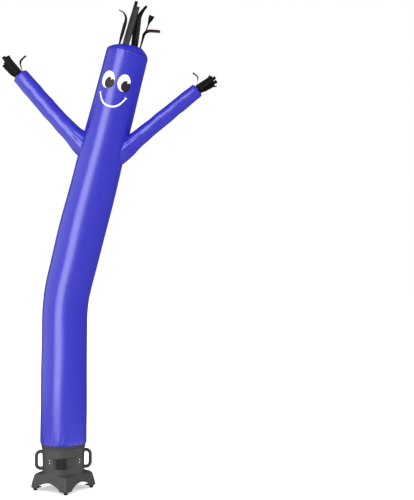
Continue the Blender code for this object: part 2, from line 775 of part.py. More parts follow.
def handle_points():
    """Path of the handle: out of the barrel, two rounded corners, and back in."""
    points = []
    for middle, start in ((HANDLE_HIGH, math.pi / 2), (HANDLE_LOW, 0.0)):
        side = 1 if middle == HANDLE_HIGH else -1
        for step in range(7):
            angle = start - step * math.pi / 12
            points.append(
                (
                    HANDLE_REACH - HANDLE_CORNER + HANDLE_CORNER * math.cos(angle),
                    middle - side * HANDLE_CORNER + HANDLE_CORNER * math.sin(angle),
                )
            )
    return [(HANDLE_START, HANDLE_HIGH)] + points + [(HANDLE_START, HANDLE_LOW)]


def curve_to_mesh(curve):
    """Turn a curve into a closed mesh with its faces outward, and drop the curve."""
    holder = bpy.data.objects.new("curve_holder", curve)
    cutters.objects.link(holder)
    shape = holder.evaluated_get(bpy.context.evaluated_depsgraph_get())
    mesh = bpy.data.meshes.new_from_object(shape)
    bpy.data.objects.remove(holder, do_unlink=True)
    bpy.data.curves.remove(curve)
    work = bmesh.new()
    work.from_mesh(mesh)
    bmesh.ops.remove_doubles(work, verts=work.verts, dist=0.00001)
    bmesh.ops.recalc_face_normals(work, faces=work.faces)
    work.to_mesh(mesh)
    work.free()
    mesh.materials.clear()
    return mesh


def add_spline(curve, points, closed=False):
    spline = curve.splines.new("POLY")
    spline.points.add(len(points) - 1)
    spline.use_cyclic_u = closed
    for place, point in zip(spline.points, points):
        place.co = (*point, 1.0)


def handle_mesh():
    """A round bar along the handle's path, with filled ends."""
    curve = bpy.data.curves.new("handle", "CURVE")
    curve.dimensions = "3D"
    curve.bevel_depth = HANDLE_RADIUS
    curve.bevel_resolution = 3
    curve.use_fill_caps = True
    add_spline(curve, [(reach, 0.0, height) for reach, height in handle_points()])
    return shade(curve_to_mesh(curve))


grip_mesh = handle_mesh()
grip_mesh.materials.append(material("grey_moulding"))
for word, turn in (("right", 0.0), ("left", math.pi)):
    handle = add_part("handle_" + word, grip_mesh, "grey_moulding")
    handle.rotation_euler = (0.0, 0.0, turn)
    combine(handle, barrel_guide, "DIFFERENCE")

# ---------------------------------------------------------------- blower: strap, label and guards
low, high = STRAP_HEIGHTS
outer = STRAP_RADIUS + STRAP_THICKNESS
turned("strap", ((outer, high), (outer, low), (STRAP_RADIUS, low), (STRAP_RADIUS, high)), "strap_web")

label_rows = []
for height in np.linspace(LABEL_HEIGHTS[0], LABEL_HEIGHTS[1], 4):
    angles = np.radians(np.linspace(-LABEL_HALF_ANGLE, LABEL_HALF_ANGLE, 14) - 90.0)
    reach = barrel_radius(height) + 2 * FIT_GAP
    label_rows.append([(reach * math.cos(a), reach * math.sin(a), height) for a in angles])
label = add_part("label_plate", loft("label_plate", label_rows, closed_round=False), "label_plate")
thicken(label, LABEL_THICKNESS, offset=1.0)


def arc(radius, start, end, count):
    """Points on a circle between two angles."""
    return [(radius * math.cos(a), radius * math.sin(a), 0.0) for a in np.linspace(start, end, count)]


def guard(name, radius, height, finish):
    """A flat guard cut from sheet: a disc with rings of slots between four bars."""
    curve = bpy.data.curves.new(name, "CURVE")
    curve.dimensions = "2D"
    curve.fill_mode = "BOTH"
    curve.extrude = 0.0010
    add_spline(curve, arc(radius, 0.0, 2 * math.pi, 37)[:-1], closed=True)
    for inner, outer_edge in GUARD_BARS:
        for quarter in range(4):
            start = quarter * math.pi / 2 + GUARD_RIB / inner
            end = (quarter + 1) * math.pi / 2 - GUARD_RIB / inner
            slot = arc(outer_edge, start, end, 6) + arc(inner, end, start, 6)
            add_spline(curve, slot, closed=True)
    piece = add_part(name, curve_to_mesh(curve), finish)
    piece.location = (0.0, 0.0, height)
    return piece


guard("outlet_guard", *OUTLET_GUARD, "bright_steel")
guard("intake_guard", *INTAKE_GUARD, "black_plastic")

# ---------------------------------------------------------------- blower: screws and cable gland
screw_mesh = cylinder_mesh("screw", SCREW_RADIUS, SCREW_HEIGHT, SCREW_RADIUS * 0.62, sides=12)
screw_mesh.materials.append(material("bright_steel"))
for corner, azimuth in enumerate((-45.0, 45.0, 135.0, 225.0)):
    for word, height in BARREL_SCREWS:
        screw = add_part("barrel_screw_%s_%d" % (word, corner), screw_mesh, "bright_steel")
        place_round(screw, azimuth, barrel_radius(height) + FIT_GAP, height)
for index, azimuth in enumerate(notch_angles):
    screw = add_part("collar_screw_%d" % index, screw_mesh, "bright_steel")
    place_round(screw, azimuth, BARREL_OUTER[3][0] + FIT_GAP, COLLAR_SCREW)

gland_profile = (
    (0.0085, 0.0200),
    (0.0095, 0.0185),
    (0.0095, 0.0080),
    (0.0125, 0.0070),
    (0.0125, 0.0000),
    (0.0045, 0.0000),
    (0.0045, 0.0200),
)
gland = turned("cable_gland", gland_profile, "black_plastic", sides=24)
place_round(gland, 180.0, barrel_radius(GLAND_HEIGHT) + 2 * FIT_GAP, GLAND_HEIGHT)

# ---------------------------------------------------------------- box centred over the origin
bpy.context.view_layer.update()
graph = bpy.context.evaluated_depsgraph_get()
low_corner = Vector((1e9, 1e9, 1e9))
high_corner = Vector((-1e9, -1e9, -1e9))
for piece in parts.objects:
    if piece.type != "MESH":
        continue
    shape = piece.evaluated_get(graph)
    for vertex in shape.data.vertices:
        place = shape.matrix_world @ vertex.co
        low_corner = Vector(map(min, low_corner, place))
        high_corner = Vector(map(max, high_corner, place))
middle = (low_corner + high_corner) / 2
root.location = (-middle.x, -middle.y, -low_corner.z)
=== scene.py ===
"""Looks of the inflatable air dancer on its blower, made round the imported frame, in metres.

The blower's axis is the middle of the barrel's box, and its front foot points to -Y. The dancer's
tube and arms lie in one upright plane through that axis, turned a little about Z.
"""

import math

import bmesh
import bpy
import numpy as np
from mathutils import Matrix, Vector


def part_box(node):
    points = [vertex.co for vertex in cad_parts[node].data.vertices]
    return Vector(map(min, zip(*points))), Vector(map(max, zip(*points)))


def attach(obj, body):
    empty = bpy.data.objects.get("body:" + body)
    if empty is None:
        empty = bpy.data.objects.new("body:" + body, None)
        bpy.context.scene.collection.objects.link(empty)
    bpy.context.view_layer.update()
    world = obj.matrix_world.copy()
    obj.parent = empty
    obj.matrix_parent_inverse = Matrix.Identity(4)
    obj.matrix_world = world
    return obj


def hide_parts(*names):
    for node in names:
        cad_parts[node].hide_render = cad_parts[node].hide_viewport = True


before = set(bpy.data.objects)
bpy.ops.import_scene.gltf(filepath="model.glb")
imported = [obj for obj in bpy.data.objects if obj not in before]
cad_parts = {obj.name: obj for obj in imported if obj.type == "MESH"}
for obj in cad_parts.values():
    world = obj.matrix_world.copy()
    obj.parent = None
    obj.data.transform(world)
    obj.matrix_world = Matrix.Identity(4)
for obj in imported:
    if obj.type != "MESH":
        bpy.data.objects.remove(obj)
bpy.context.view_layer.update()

# ------------------------------------------------------------------ studio: floor, light and camera
# A plain pale floor under a soft light tent. A tall softbox to the front left gives the long
# sheen down the inflated cloth, and a wide dimmer wall of light stands at the left behind it.
low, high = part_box("barrel")
AXIS = np.array([(low.x + high.x) / 2, (low.y + high.y) / 2, 0.0])

CAMERA_DISTANCE = 7.068
CAMERA_AZIMUTH = -4.5
CAMERA_HEIGHT = 1.625
CAMERA_HEADING = 12.45
CAMERA_LENS = 74.0
FLOOR_SIZE = 60.0
FLOOR_GLOW = 0.45
CARDS = (("card_left", -110.0, -41.5), ("card_right", 13.5, 110.0))
CARD_NEAR = 0.30
CARD_FAR = 1.50
CARD_HEIGHT = 0.002
CARD_RADIANCE = 1.2
CARD_STEPS = 24


def at_azimuth(azimuth, distance, height):
    """Point at an azimuth in degrees from the front (-Y) towards +X, round the blower's axis."""
    turn = math.radians(azimuth)
    return AXIS + np.array([distance * math.sin(turn), -distance * math.cos(turn), height])


scene = bpy.context.scene
scene.view_settings.view_transform = "Standard"

camera = bpy.data.objects.new("camera", bpy.data.cameras.new("camera"))
camera.data.lens = CAMERA_LENS
camera.location = at_azimuth(CAMERA_AZIMUTH, CAMERA_DISTANCE, CAMERA_HEIGHT)
camera.rotation_euler = (math.pi / 2, 0.0, -math.radians(CAMERA_HEADING))
scene.collection.objects.link(camera)
scene.camera = camera


def add_node(tree, kind, inputs=None, **settings):
    """Adds a node, sets its own settings, and sets or links its inputs by name or number."""
    node = tree.nodes.new(kind)
    for key, value in settings.items():
        setattr(node, key, value)
    for key, value in (inputs or {}).items():
        if isinstance(value, bpy.types.NodeSocket):
            tree.links.new(value, node.inputs[key])
        else:
            node.inputs[key].default_value = value
    return node


def maths(tree, operation, *values):
    """Output of a Math node over sockets and numbers."""
    node = add_node(tree, "ShaderNodeMath", dict(enumerate(values)), operation=operation)
    return node.outputs[0]


def principled(name, colour, roughness, **constants):
    """A material with one Principled shader: its node tree and shader, to be given texture."""
    made = bpy.data.materials.new(name)
    made.use_nodes = True
    shader = made.node_tree.nodes["Principled BSDF"]
    shader.inputs["Base Color"].default_value = (*colour, 1.0)
    shader.inputs["Roughness"].default_value = roughness
    for key, value in constants.items():
        shader.inputs[key.replace("_", " ")].default_value = value
    return made, made.node_tree, shader


AMBIENT = 0.62
AMBIENT_IN_GLOSS = 0.10
world = bpy.data.worlds.new("light_tent")
world.use_nodes = True
scene.world = world
tent = world.node_tree
background = tent.nodes["Background"]
path = add_node(tent, "ShaderNodeLightPath")
dimmed = maths(tent, "MULTIPLY_ADD", path.outputs["Is Glossy Ray"], AMBIENT_IN_GLOSS - AMBIENT, AMBIENT)
strength = maths(tent, "MAXIMUM", dimmed, path.outputs["Is Camera Ray"])
background.inputs["Color"].default_value = (1.0, 1.0, 1.0, 1.0)
tent.links.new(strength, background.inputs["Strength"])

floor_mesh = bpy.data.meshes.new("floor")
half_floor = FLOOR_SIZE / 2
floor_corners = [(half_floor * x, half_floor * y, 0) for x, y in ((-1, -1), (1, -1), (1, 1), (-1, 1))]
floor_mesh.from_pydata(floor_corners, [], [(0, 1, 2, 3)])
floor = bpy.data.objects.new("floor", floor_mesh)
scene.collection.objects.link(floor)
floor.visible_glossy = False
glow = {"Emission_Color": (1.0, 1.0, 1.0, 1.0), "Emission_Strength": FLOOR_GLOW}
floor_paint = principled("pale_floor", (0.93, 0.93, 0.93), 0.9, Specular_IOR_Level=0.0, **glow)[0]
floor_mesh.materials.append(floor_paint)

card_paint = bpy.data.materials.new("pale_card")
card_paint.use_nodes = True
card_tree = card_paint.node_tree
card_tree.nodes.remove(card_tree.nodes["Principled BSDF"])
glow = add_node(card_tree, "ShaderNodeEmission", {"Strength": CARD_RADIANCE})
card_tree.links.new(glow.outputs[0], card_tree.nodes["Material Output"].inputs["Surface"])
for name, first, last in CARDS:
    sweep = np.linspace(first, last, CARD_STEPS)
    near = [at_azimuth(azimuth, CARD_NEAR, CARD_HEIGHT) for azimuth in sweep]
    far = [at_azimuth(azimuth, CARD_FAR, CARD_HEIGHT) for azimuth in sweep]
    card_mesh = bpy.data.meshes.new(name)
    corners = np.array((0, 1, CARD_STEPS + 1, CARD_STEPS))
    card_faces = (corners + np.arange(CARD_STEPS - 1)[:, None]).tolist()
    card_mesh.from_pydata([tuple(point) for point in near + far], [], card_faces)
    card_mesh.materials.append(card_paint)
    card = bpy.data.objects.new(name, card_mesh)
    scene.collection.objects.link(card)
    card.visible_camera = False
    card.visible_diffuse = False
    card.visible_shadow = False

PANELS = (                # name, azimuth, distance, width, low edge, high edge, radiance, roll
    ("sheen_softbox", -34.0, 2.5, 1.50, 0.05, 4.8, 4.3, 4.0),
    ("left_wall", -104.0, 3.3, 4.6, 0.02, 4.8, 0.95, 0.0),
)
for name, azimuth, distance, width, low_edge, high_edge, radiance, roll in PANELS:
    light = bpy.data.lights.new(name, "AREA")
    light.shape = "RECTANGLE"
    light.size = width
    light.size_y = high_edge - low_edge
    light.energy = math.pi * radiance * width * (high_edge - low_edge)
    panel = bpy.data.objects.new(name, light)
    panel.location = at_azimuth(azimuth, distance, (low_edge + high_edge) / 2)
    panel.rotation_euler = (math.pi / 2, math.radians(roll), math.radians(azimuth))
    panel.visible_camera = False
    panel.visible_diffuse = False
    scene.collection.objects.link(panel)

sky = bpy.data.lights.new("overhead", "SUN")
sky.energy = 2.6
sky.angle = math.radians(90.0)
overhead = bpy.data.objects.new("overhead", sky)
overhead.rotation_euler = (math.radians(42.0), 0.0, math.radians(-12.0))
overhead.visible_glossy = False
scene.collection.objects.link(overhead)

# ------------------------------------------------------------------ tube: the dancer's body
# One long panel of coated nylon, closed by a felled seam down its back. Its hem is gripped by the
# strap on the blower's collar, folds out over the strap and stands under air up to the head seam.
TURN = math.radians(-17.2)
CLOTH = 0.0012
TUBE_FOOT = 0.35
BEND_START = 1.14
BEND_RADIUS = 1.25
BASE_LEAN = math.radians(0.6)
HEAD_LEAN = math.radians(14.5)
TUBE_TOP = 3.015
BEND_LENGTH = BEND_RADIUS * (HEAD_LEAN - BASE_LEAN)
BACK = np.array([0.0, 1.0, 0.0])
HEM_ROWS = np.array(      # radius, height
    [
        (0.1469, 0.2975),
        (0.1469, 0.3108),
        (0.1471, 0.3218),
        (0.1489, 0.3254),
        (0.1515, 0.3256),
        (0.1531, 0.3223),
        (0.1541, 0.3157),
        (0.1550, 0.3157),
        (0.1556, 0.3212),
        (0.1560, 0.3290),
        (0.1564, 0.3410),
    ]
)
BODY_ROWS = np.array(     # radius, distance along the centre line
    [
        (0.1565, 0.350),
        (0.1563, 0.400),
        (0.1545, 0.700),
        (0.1520, 1.040),
        (0.1525, 1.140),
        (0.1535, 1.240),
        (0.1545, 1.340),
        (0.1560, 1.445),
        (0.1585, 1.700),
        (0.1540, 2.150),
        (0.1500, 2.480),
        (0.1442, 2.860),
        (0.1428, 2.961),
        (0.1423, 2.991),
        (0.1413, 3.004),
        (0.1392, 3.014),
    ]
)
MEAN_RADIUS = 0.150
AROUND = 240              # columns round the tube


def smooth(value):
    """Smooth step from 0 to 1."""
    value = np.clip(value, 0.0, 1.0)
    return value * value * (3 - 2 * value)


def through(knots, values, at):
    """Smooth curve through values at knots: a cubic on each span, with the mean slopes at its ends."""
    knots, values, at = np.asarray(knots, float), np.asarray(values, float), np.asarray(at, float)
    slopes = np.gradient(values, knots, axis=0)
    span = np.clip(np.searchsorted(knots, at, side="right") - 1, 0, len(knots) - 2)
    width = knots[span + 1] - knots[span]
    t = (at - knots[span]) / width
    if values.ndim > 1:
        width, t = width[..., None], t[..., None]
    return (
        (2 * t**3 - 3 * t**2 + 1) * values[span]
        + (t**3 - 2 * t**2 + t) * width * slopes[span]
        + (3 * t**2 - 2 * t**3) * values[span + 1]
        + (t**3 - t**2) * width * slopes[span + 1]
    )


def running(steps):
    """Running total of steps, from 0."""
    return np.concatenate(([0.0], np.cumsum(steps)))


def to_row(points):
    """Turns points of the dancer's own plane (x across, y back, z up) into the row frame."""
    x, y, z = points[..., 0], points[..., 1], points[..., 2]
    cosine, sine = math.cos(TURN), math.sin(TURN)
    return np.stack((cosine * x - sine * y, sine * x + cosine * y, z), axis=-1) + AXIS


def centre_line(along):
    """Points and leans of the tube's centre line: upright on the collar, a straight run, one arc
    of BEND_RADIUS, and straight on at the head's lean."""
    along = np.asarray(along, float)
    rise = np.clip(along - TUBE_FOOT, 0.0, BEND_START - TUBE_FOOT)
    turn = np.clip(along - BEND_START, 0.0, BEND_LENGTH) / BEND_RADIUS
    rest = np.maximum(along - BEND_START - BEND_LENGTH, 0.0)
    lean = np.where(along > TUBE_FOOT, BASE_LEAN, 0.0) + turn
    x = rise * math.sin(BASE_LEAN) + BEND_RADIUS * (math.cos(BASE_LEAN) - np.cos(BASE_LEAN + turn))
    z = np.minimum(along, TUBE_FOOT) + rise * math.cos(BASE_LEAN)
    z = z + BEND_RADIUS * (np.sin(BASE_LEAN + turn) - math.sin(BASE_LEAN))
    return np.stack((x + rest * np.sin(lean), np.zeros_like(x), z + rest * np.cos(lean)), axis=-1), lean


def ring_points(centre, heading, radius, angle):
    """Points round an axis in the dancer's plane: centre + radius (sin a across - cos a back), with
    the angle a counted from the front round by the right."""
    across = np.stack((np.cos(heading), np.zeros_like(heading), -np.sin(heading)), axis=-1)
    return centre + (radius * np.sin(angle))[..., None] * across - (radius * np.cos(angle))[..., None] * BACK


def skin(along, angle):
    """How far the cloth stands off a true round tube: slow swells down the body, and puckers that
    fade away from the head seam and from the fold over the strap."""
    body = smooth((along - 0.37) / 0.25) * smooth((TUBE_TOP - along) / 0.20)
    swell = 0.0010 * np.sin(2 * angle + 5.1 * along) + 0.0008 * np.sin(3 * angle - 8.3 * along + 1.0)
    swell = swell + 0.0007 * np.sin(angle + 12.0 * along + 0.4)
    top = np.exp(-np.maximum(TUBE_TOP - along, 0.0) / 0.030) * smooth((TUBE_TOP - along) / 0.012)
    foot = np.exp(-np.abs(along - 0.345) / 0.030) * smooth((along - 0.316) / 0.020)
    fine = np.sin(27 * angle + 1.6 * np.sin(5 * angle)) + 0.6 * np.sin(17 * angle + 2.0)
    return swell * body + 0.0007 * fine * top + 0.0009 * fine * foot


def tube_radius(along):
    return through(BODY_ROWS[:, 1], BODY_ROWS[:, 0], along)


def on_tube(along, angle, lift):
    """Points on the outside of the tube's cloth, lifted off it, in the dancer's plane."""
    centre, lean = centre_line(along)
    return ring_points(centre, lean, tube_radius(along) + skin(along, angle) + CLOTH / 2 + lift, angle)


def grid_mesh(name, points, maps=None, wrap=False, loop=False):
    """Mesh of quads over a grid of points (rows, columns, 3). wrap joins the last column to the
    first, loop the last row to the first, and points that fall together are merged. maps are UV
    maps by name, with one row or column more than the points have where the grid closes."""
    rows, columns = points.shape[:2]
    i = np.arange(rows if loop else rows - 1)[:, None]
    j = np.arange(columns if wrap else columns - 1)[None, :]
    after_i, after_j = (i + 1) % rows, (j + 1) % columns
    corners = (i * columns + j, i * columns + after_j, after_i * columns + after_j, after_i * columns + j)
    quads = np.stack(np.broadcast_arrays(*corners), axis=-1).reshape(-1, 4)
    mesh = bpy.data.meshes.new(name)
    mesh.from_pydata(points.reshape(-1, 3).tolist(), [], quads.tolist())
    for key, uv in (maps or {}).items():
        layer = mesh.uv_layers.new(name=key)
        spread = np.stack((uv[:-1, :-1], uv[:-1, 1:], uv[1:, 1:], uv[1:, :-1]), axis=2)
        layer.data.foreach_set("uv", spread.reshape(-1).astype(np.float32))
    work = bmesh.new()
    work.from_mesh(mesh)
    bmesh.ops.remove_doubles(work, verts=work.verts, dist=0.000002)
    work.to_mesh(mesh)
    work.free()
    mesh.shade_smooth()
    return mesh


def add_piece(name, points, finish, slot, *nodes, **grid):
    """Makes a grid of points a piece on the root body, in its finish, in place of the nodes it
    stands for."""
    mesh = grid_mesh(name, points, **grid)
    mesh.materials.append(finish)
    piece = bpy.data.objects.new(name, mesh)
    scene.collection.objects.link(piece)
    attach(piece, "root")
    if nodes:
        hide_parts(*nodes)
    return piece


def thicken(piece, thickness, offset=0.0):
    """Gives a sheet its thickness, with closed edges."""
    shell = piece.modifiers.new("thickness", "SOLIDIFY")
    shell.thickness = thickness
    shell.offset = offset
    return shell


def both_maps(columns_first, rows_first, columns_second, rows_second):
    """Two UV maps in metres: weave, and edge (distance from the sewn edge, run along it)."""
    return {
        "weave": np.stack(np.broadcast_arrays(columns_first, rows_first), axis=-1),
        "edge": np.stack(np.broadcast_arrays(columns_second, rows_second), axis=-1),
    }


def tint(tree, shader, colour, other, share):
    """Base colour that goes from colour to other by a share."""
    mix = add_node(tree, "ShaderNodeMix", data_type="RGBA")
    mix.inputs[6].default_value = (*colour, 1.0)
    mix.inputs[7].default_value = (*other, 1.0)
    tree.links.new(share, mix.inputs[0])
    tree.links.new(mix.outputs[2], shader.inputs["Base Color"])
    return mix


def emboss(tree, shader, height, distance):
    bump = add_node(tree, "ShaderNodeBump", {"Height": height, "Distance": distance, "Strength": 1.0})
    tree.links.new(bump.outputs["Normal"], shader.inputs["Normal"])


def noise(tree, **inputs):
    """Noise over the object's own coordinates."""
    inputs["Vector"] = add_node(tree, "ShaderNodeTexCoord").outputs["Object"]
    return add_node(tree, "ShaderNodeTexNoise", inputs).outputs["Fac"]


def map_axes(tree, name):
    """The two directions of a UV map, as sockets."""
    place = add_node(tree, "ShaderNodeUVMap", uv_map=name)
    return add_node(tree, "ShaderNodeSeparateXYZ", {0: place.outputs[0]}).outputs


def every(tree, value, pitch):
    """Distance from the nearest line of a set one pitch apart, from 0 on a line to 0.5 between."""
    return maths(tree, "PINGPONG", maths(tree, "DIVIDE", value, pitch), 0.5)


RIPSTOP = 0.0055
STITCH_PITCH = 0.0042
STITCH_LINES = (0.0035, 0.0095)


def nylon(name, colour, thread, roughness, **constants):
    """Coated ripstop nylon: a square grid of doubled threads every RIPSTOP, and
    two rows of stitches beside each sewn edge."""
    made, tree, shader = principled(name, colour, roughness, **constants)
    across, sewn = map_axes(tree, "weave"), map_axes(tree, "edge")
    lines = [maths(tree, "LESS_THAN", every(tree, across[axis], RIPSTOP), 0.09) for axis in (0, 1)]
    grid = maths(tree, "MAXIMUM", *lines)
    offsets = [
        maths(tree, "ABSOLUTE", maths(tree, "SUBTRACT", sewn[0], place)) for place in STITCH_LINES
    ]
    on_line = maths(tree, "LESS_THAN", maths(tree, "MINIMUM", *offsets), 0.0006)
    dash = maths(tree, "LESS_THAN", every(tree, sewn[1], STITCH_PITCH), 0.34)
    stitch = maths(tree, "MULTIPLY", on_line, dash)
    cloud = noise(tree, Scale=7.0, Detail=3.0)
    shade = maths(tree, "MULTIPLY_ADD", cloud, 0.22, maths(tree, "MULTIPLY", grid, 0.12))
    base = tint(tree, shader, colour, tuple(0.80 * part for part in colour), shade)
    layers = {0: stitch, 6: base.outputs[2], 7: (*thread, 1.0)}
    sewing = add_node(tree, "ShaderNodeMix", layers, data_type="RGBA")
    tree.links.new(sewing.outputs[2], shader.inputs["Base Color"])
    matt = maths(tree, "MULTIPLY_ADD", noise(tree, Scale=23.0, Detail=4.0), 0.10, roughness - 0.05)
    tree.links.new(matt, shader.inputs["Roughness"])
    height = maths(tree, "MULTIPLY_ADD", stitch, 3.0, maths(tree, "MULTIPLY", grid, 0.12))
    emboss(tree, shader, height, 0.00012)
    return made


BLUE = (0.0175, 0.0165, 0.415)
blue_nylon = nylon("blue_nylon", BLUE, (0.05, 0.05, 0.50), 0.30, Specular_IOR_Level=0.85)

hem_path = running(np.linalg.norm(np.diff(HEM_ROWS, axis=0), axis=1))
hem = through(hem_path, HEM_ROWS, np.linspace(0.0, hem_path[-1], 30))
# first and last distance of each span, and its number of rings: closer together at both ends
stops = ((TUBE_FOOT, 0.53, 14), (0.53, 2.916, 118), (2.916, 2.998, 12), (2.998, 3.014, 7))
spans = [np.linspace(first, last, count)[:-1] for first, last, count in stops]
body_along = np.concatenate(spans + [[BODY_ROWS[-1, 1]]])
along = np.concatenate((hem[:, 1], body_along))[:, None]
radius = np.concatenate((hem[:, 0], tube_radius(body_along)))[:, None]
angle = (math.pi + 2 * math.pi * np.arange(AROUND) / AROUND)[None, :]
centre, lean = centre_line(along[:, 0])
centre, lean = centre[:, None, :], np.broadcast_to(lean[:, None], (len(along), AROUND))
back_arc = MEAN_RADIUS * np.minimum(angle - math.pi, 3 * math.pi - angle)
felled = 0.0009 * smooth((0.0075 - back_arc) / 0.0012) * smooth((along - 0.355) / 0.010)
points = ring_points(centre, lean, radius + skin(along, angle) + felled, angle)
cloth_run = running(np.hypot(np.diff(radius[:, 0]), np.diff(along[:, 0])))[:, None]
column = np.arange(AROUND + 1)[None, :] / AROUND
arc_column = 2 * math.pi * MEAN_RADIUS * column
maps = both_maps(arc_column, cloth_run, cloth_run[-1] - cloth_run, arc_column)
tube_cloth = add_piece(
    "tube_cloth", to_row(points), blue_nylon, "tube_fabric", "body_tube", maps=maps, wrap=True
)
thicken(tube_cloth, CLOTH)

# ------------------------------------------------------------------ head cap
# A disc of the same nylon with a round vent in its middle, sewn into the top of the tube and
# blown up into a shallow dome.
CAP_EDGE = 0.1377
CAP_RISE = 0.052
CAP_POWER = 3.0
CAP_SKEW = 0.20
CAP_BASE = 0.1390
VENT_RADIUS = 0.085

head_centre, head_lean = centre_line(TUBE_TOP)
head_lean = float(head_lean)
head_axis = np.array([math.sin(head_lean), 0.0, math.cos(head_lean)])
head_across = np.array([math.cos(head_lean), 0.0, -math.sin(head_lean)])


def cap_height(radius):
    """Height of the dome over the head seam: flat in the middle and steep at the edge."""
    return CAP_RISE * (1 - (radius / CAP_BASE) ** CAP_POWER)


share = np.linspace(0.0, 1.0, 26)[:, None] ** 1.3
cap_radius = CAP_EDGE + (VENT_RADIUS - CAP_EDGE) * share
cap_pucker = 0.0008 * (np.sin(27 * angle + 1.6 * np.sin(5 * angle)) + 0.6 * np.sin(17 * angle + 2.0))
vent_pucker = 0.0010 * np.sin(22 * angle + 1.2 * np.sin(3 * angle))
lift = cap_height(cap_radius) * (1 + CAP_SKEW * np.sin(angle))
lift = lift + cap_pucker * np.exp(-share / 0.18) * smooth(share * 12) + vent_pucker * share**5
cap_lean = np.full_like(cap_radius * angle, head_lean)
cap_points = ring_points(head_centre, cap_lean, cap_radius + 0 * angle, angle)
cap_points = cap_points + lift[..., None] * head_axis
cap_run = (CAP_EDGE - cap_radius) * 1.08
turn = 2 * math.pi * column
maps = both_maps(cap_radius * np.cos(turn), cap_radius * np.sin(turn), cap_run, arc_column)
cap_cloth = add_piece(
    "cap_cloth", to_row(cap_points), blue_nylon, "tube_fabric", "head_cap", maps=maps, wrap=True
)
thicken(cap_cloth, CLOTH)

# ------------------------------------------------------------------ sleeves: the two arms
# Each arm is a sleeve of the same nylon, flared where it is sewn to the tube over its air opening,
# and drawn in a little at the hand, where the vent holds its fringe.
ARM_SIDES = 96
ARM_COLUMNS = ("name", "shoulder", "hand", "heading_in", "heading_out", "wide", "narrow")
ARMS = (
    ("left", (0.112, 2.366), (-0.298, 2.814), -46.4, -41.5, 0.0630, 0.0560),
    ("right", (0.444, 2.326), (0.913, 2.700), 51.65, 51.65, 0.0555, 0.0480),
)
ARM_ROOT = 0.110
# share of the arm's length, and how much wider than the arm the sleeve is there
FLARE = np.array(
    [(-0.2, 0.30), (0.0, 0.22), (0.06, 0.12), (0.14, 0.04), (0.30, 0.0), (0.60, 0.0), (1.1, 0.0)]
)
FLANGE_ROWS = ((0.0060, 0.0011), (0.0040, 0.0009), (0.0018, 0.0004))    # out along the tube, down into it
TAIL_ROWS = ((0.001, 0.955), (0.0045, 0.88), (0.0072, 0.79))            # past the hand, share of its radius
TAIL_VENT = 0.0080
HAND_VENT = 0.0395
HAND_END = 0.006


def arm_line(arm, share):
    """Points and headings along an arm: a cubic from shoulder to hand with the given headings, and
    straight lines past both ends."""
    start = np.array([arm["shoulder"][0], 0.0, arm["shoulder"][1]])
    end = np.array([arm["hand"][0], 0.0, arm["hand"][1]])
    length = float(np.linalg.norm(end - start))
    first, last = math.radians(arm["heading_in"]), math.radians(arm["heading_out"])
    leave = length * np.array([math.sin(first), 0.0, math.cos(first)])
    arrive = length * np.array([math.sin(last), 0.0, math.cos(last)])
    t = np.clip(share, 0.0, 1.0)
    past = (share - t)[..., None]
    heading = first + (last - first) * t
    t = t[..., None]
    inside = (
        (2 * t**3 - 3 * t**2 + 1) * start
        + (t**3 - 2 * t**2 + t) * leave
        + (3 * t**2 - 2 * t**3) * end
        + (t**3 - t**2) * arrive
    )
    return inside + past * np.where(past < 0, leave, arrive), heading


def sleeve_points(arm, share, angle):
    """Points of the sleeve's cloth: rings round the arm's line, flared at the shoulder, with gather
    folds that fade away from both sewn ends."""
    centre, heading = arm_line(arm, share)
    radius = arm["wide"] + (arm["narrow"] - arm["wide"]) * np.clip(share, 0.0, 1.0)
    radius = radius + arm["wide"] * through(FLARE[:, 0], FLARE[:, 1], share)
    root = np.exp(-np.maximum(share - 0.06, 0.0) / 0.10)
    cuff = np.exp(-np.maximum(1.0 - share, 0.0) / 0.045)
    folds = 0.0013 * np.sin(11 * angle + 1.7 * np.sin(3 * angle)) * root
    folds = folds + 0.0010 * np.sin(16 * angle + np.sin(2 * angle)) * cuff
    swell = 0.0008 * np.sin(2 * angle + 21 * share) + 0.0006 * np.sin(angle - 33 * share)
    return ring_points(centre, heading, radius + folds + swell * smooth(share / 0.2), angle)


def off_tube(points):
    """Distance of points outside the tube's cloth, where the tube is straight, and their place."""
    start, lean = centre_line(BEND_START + BEND_LENGTH)
    axis = np.array([math.sin(float(lean)), 0.0, math.cos(float(lean))])
    reach = points - start
    run = reach @ axis
    out = reach - run[..., None] * axis
    distance = np.linalg.norm(out, axis=-1)
    along = BEND_START + BEND_LENGTH + run
    radius = tube_radius(np.clip(along, BODY_ROWS[0, 1], BODY_ROWS[-1, 1]))
    return distance - radius - CLOTH, out / distance[..., None]


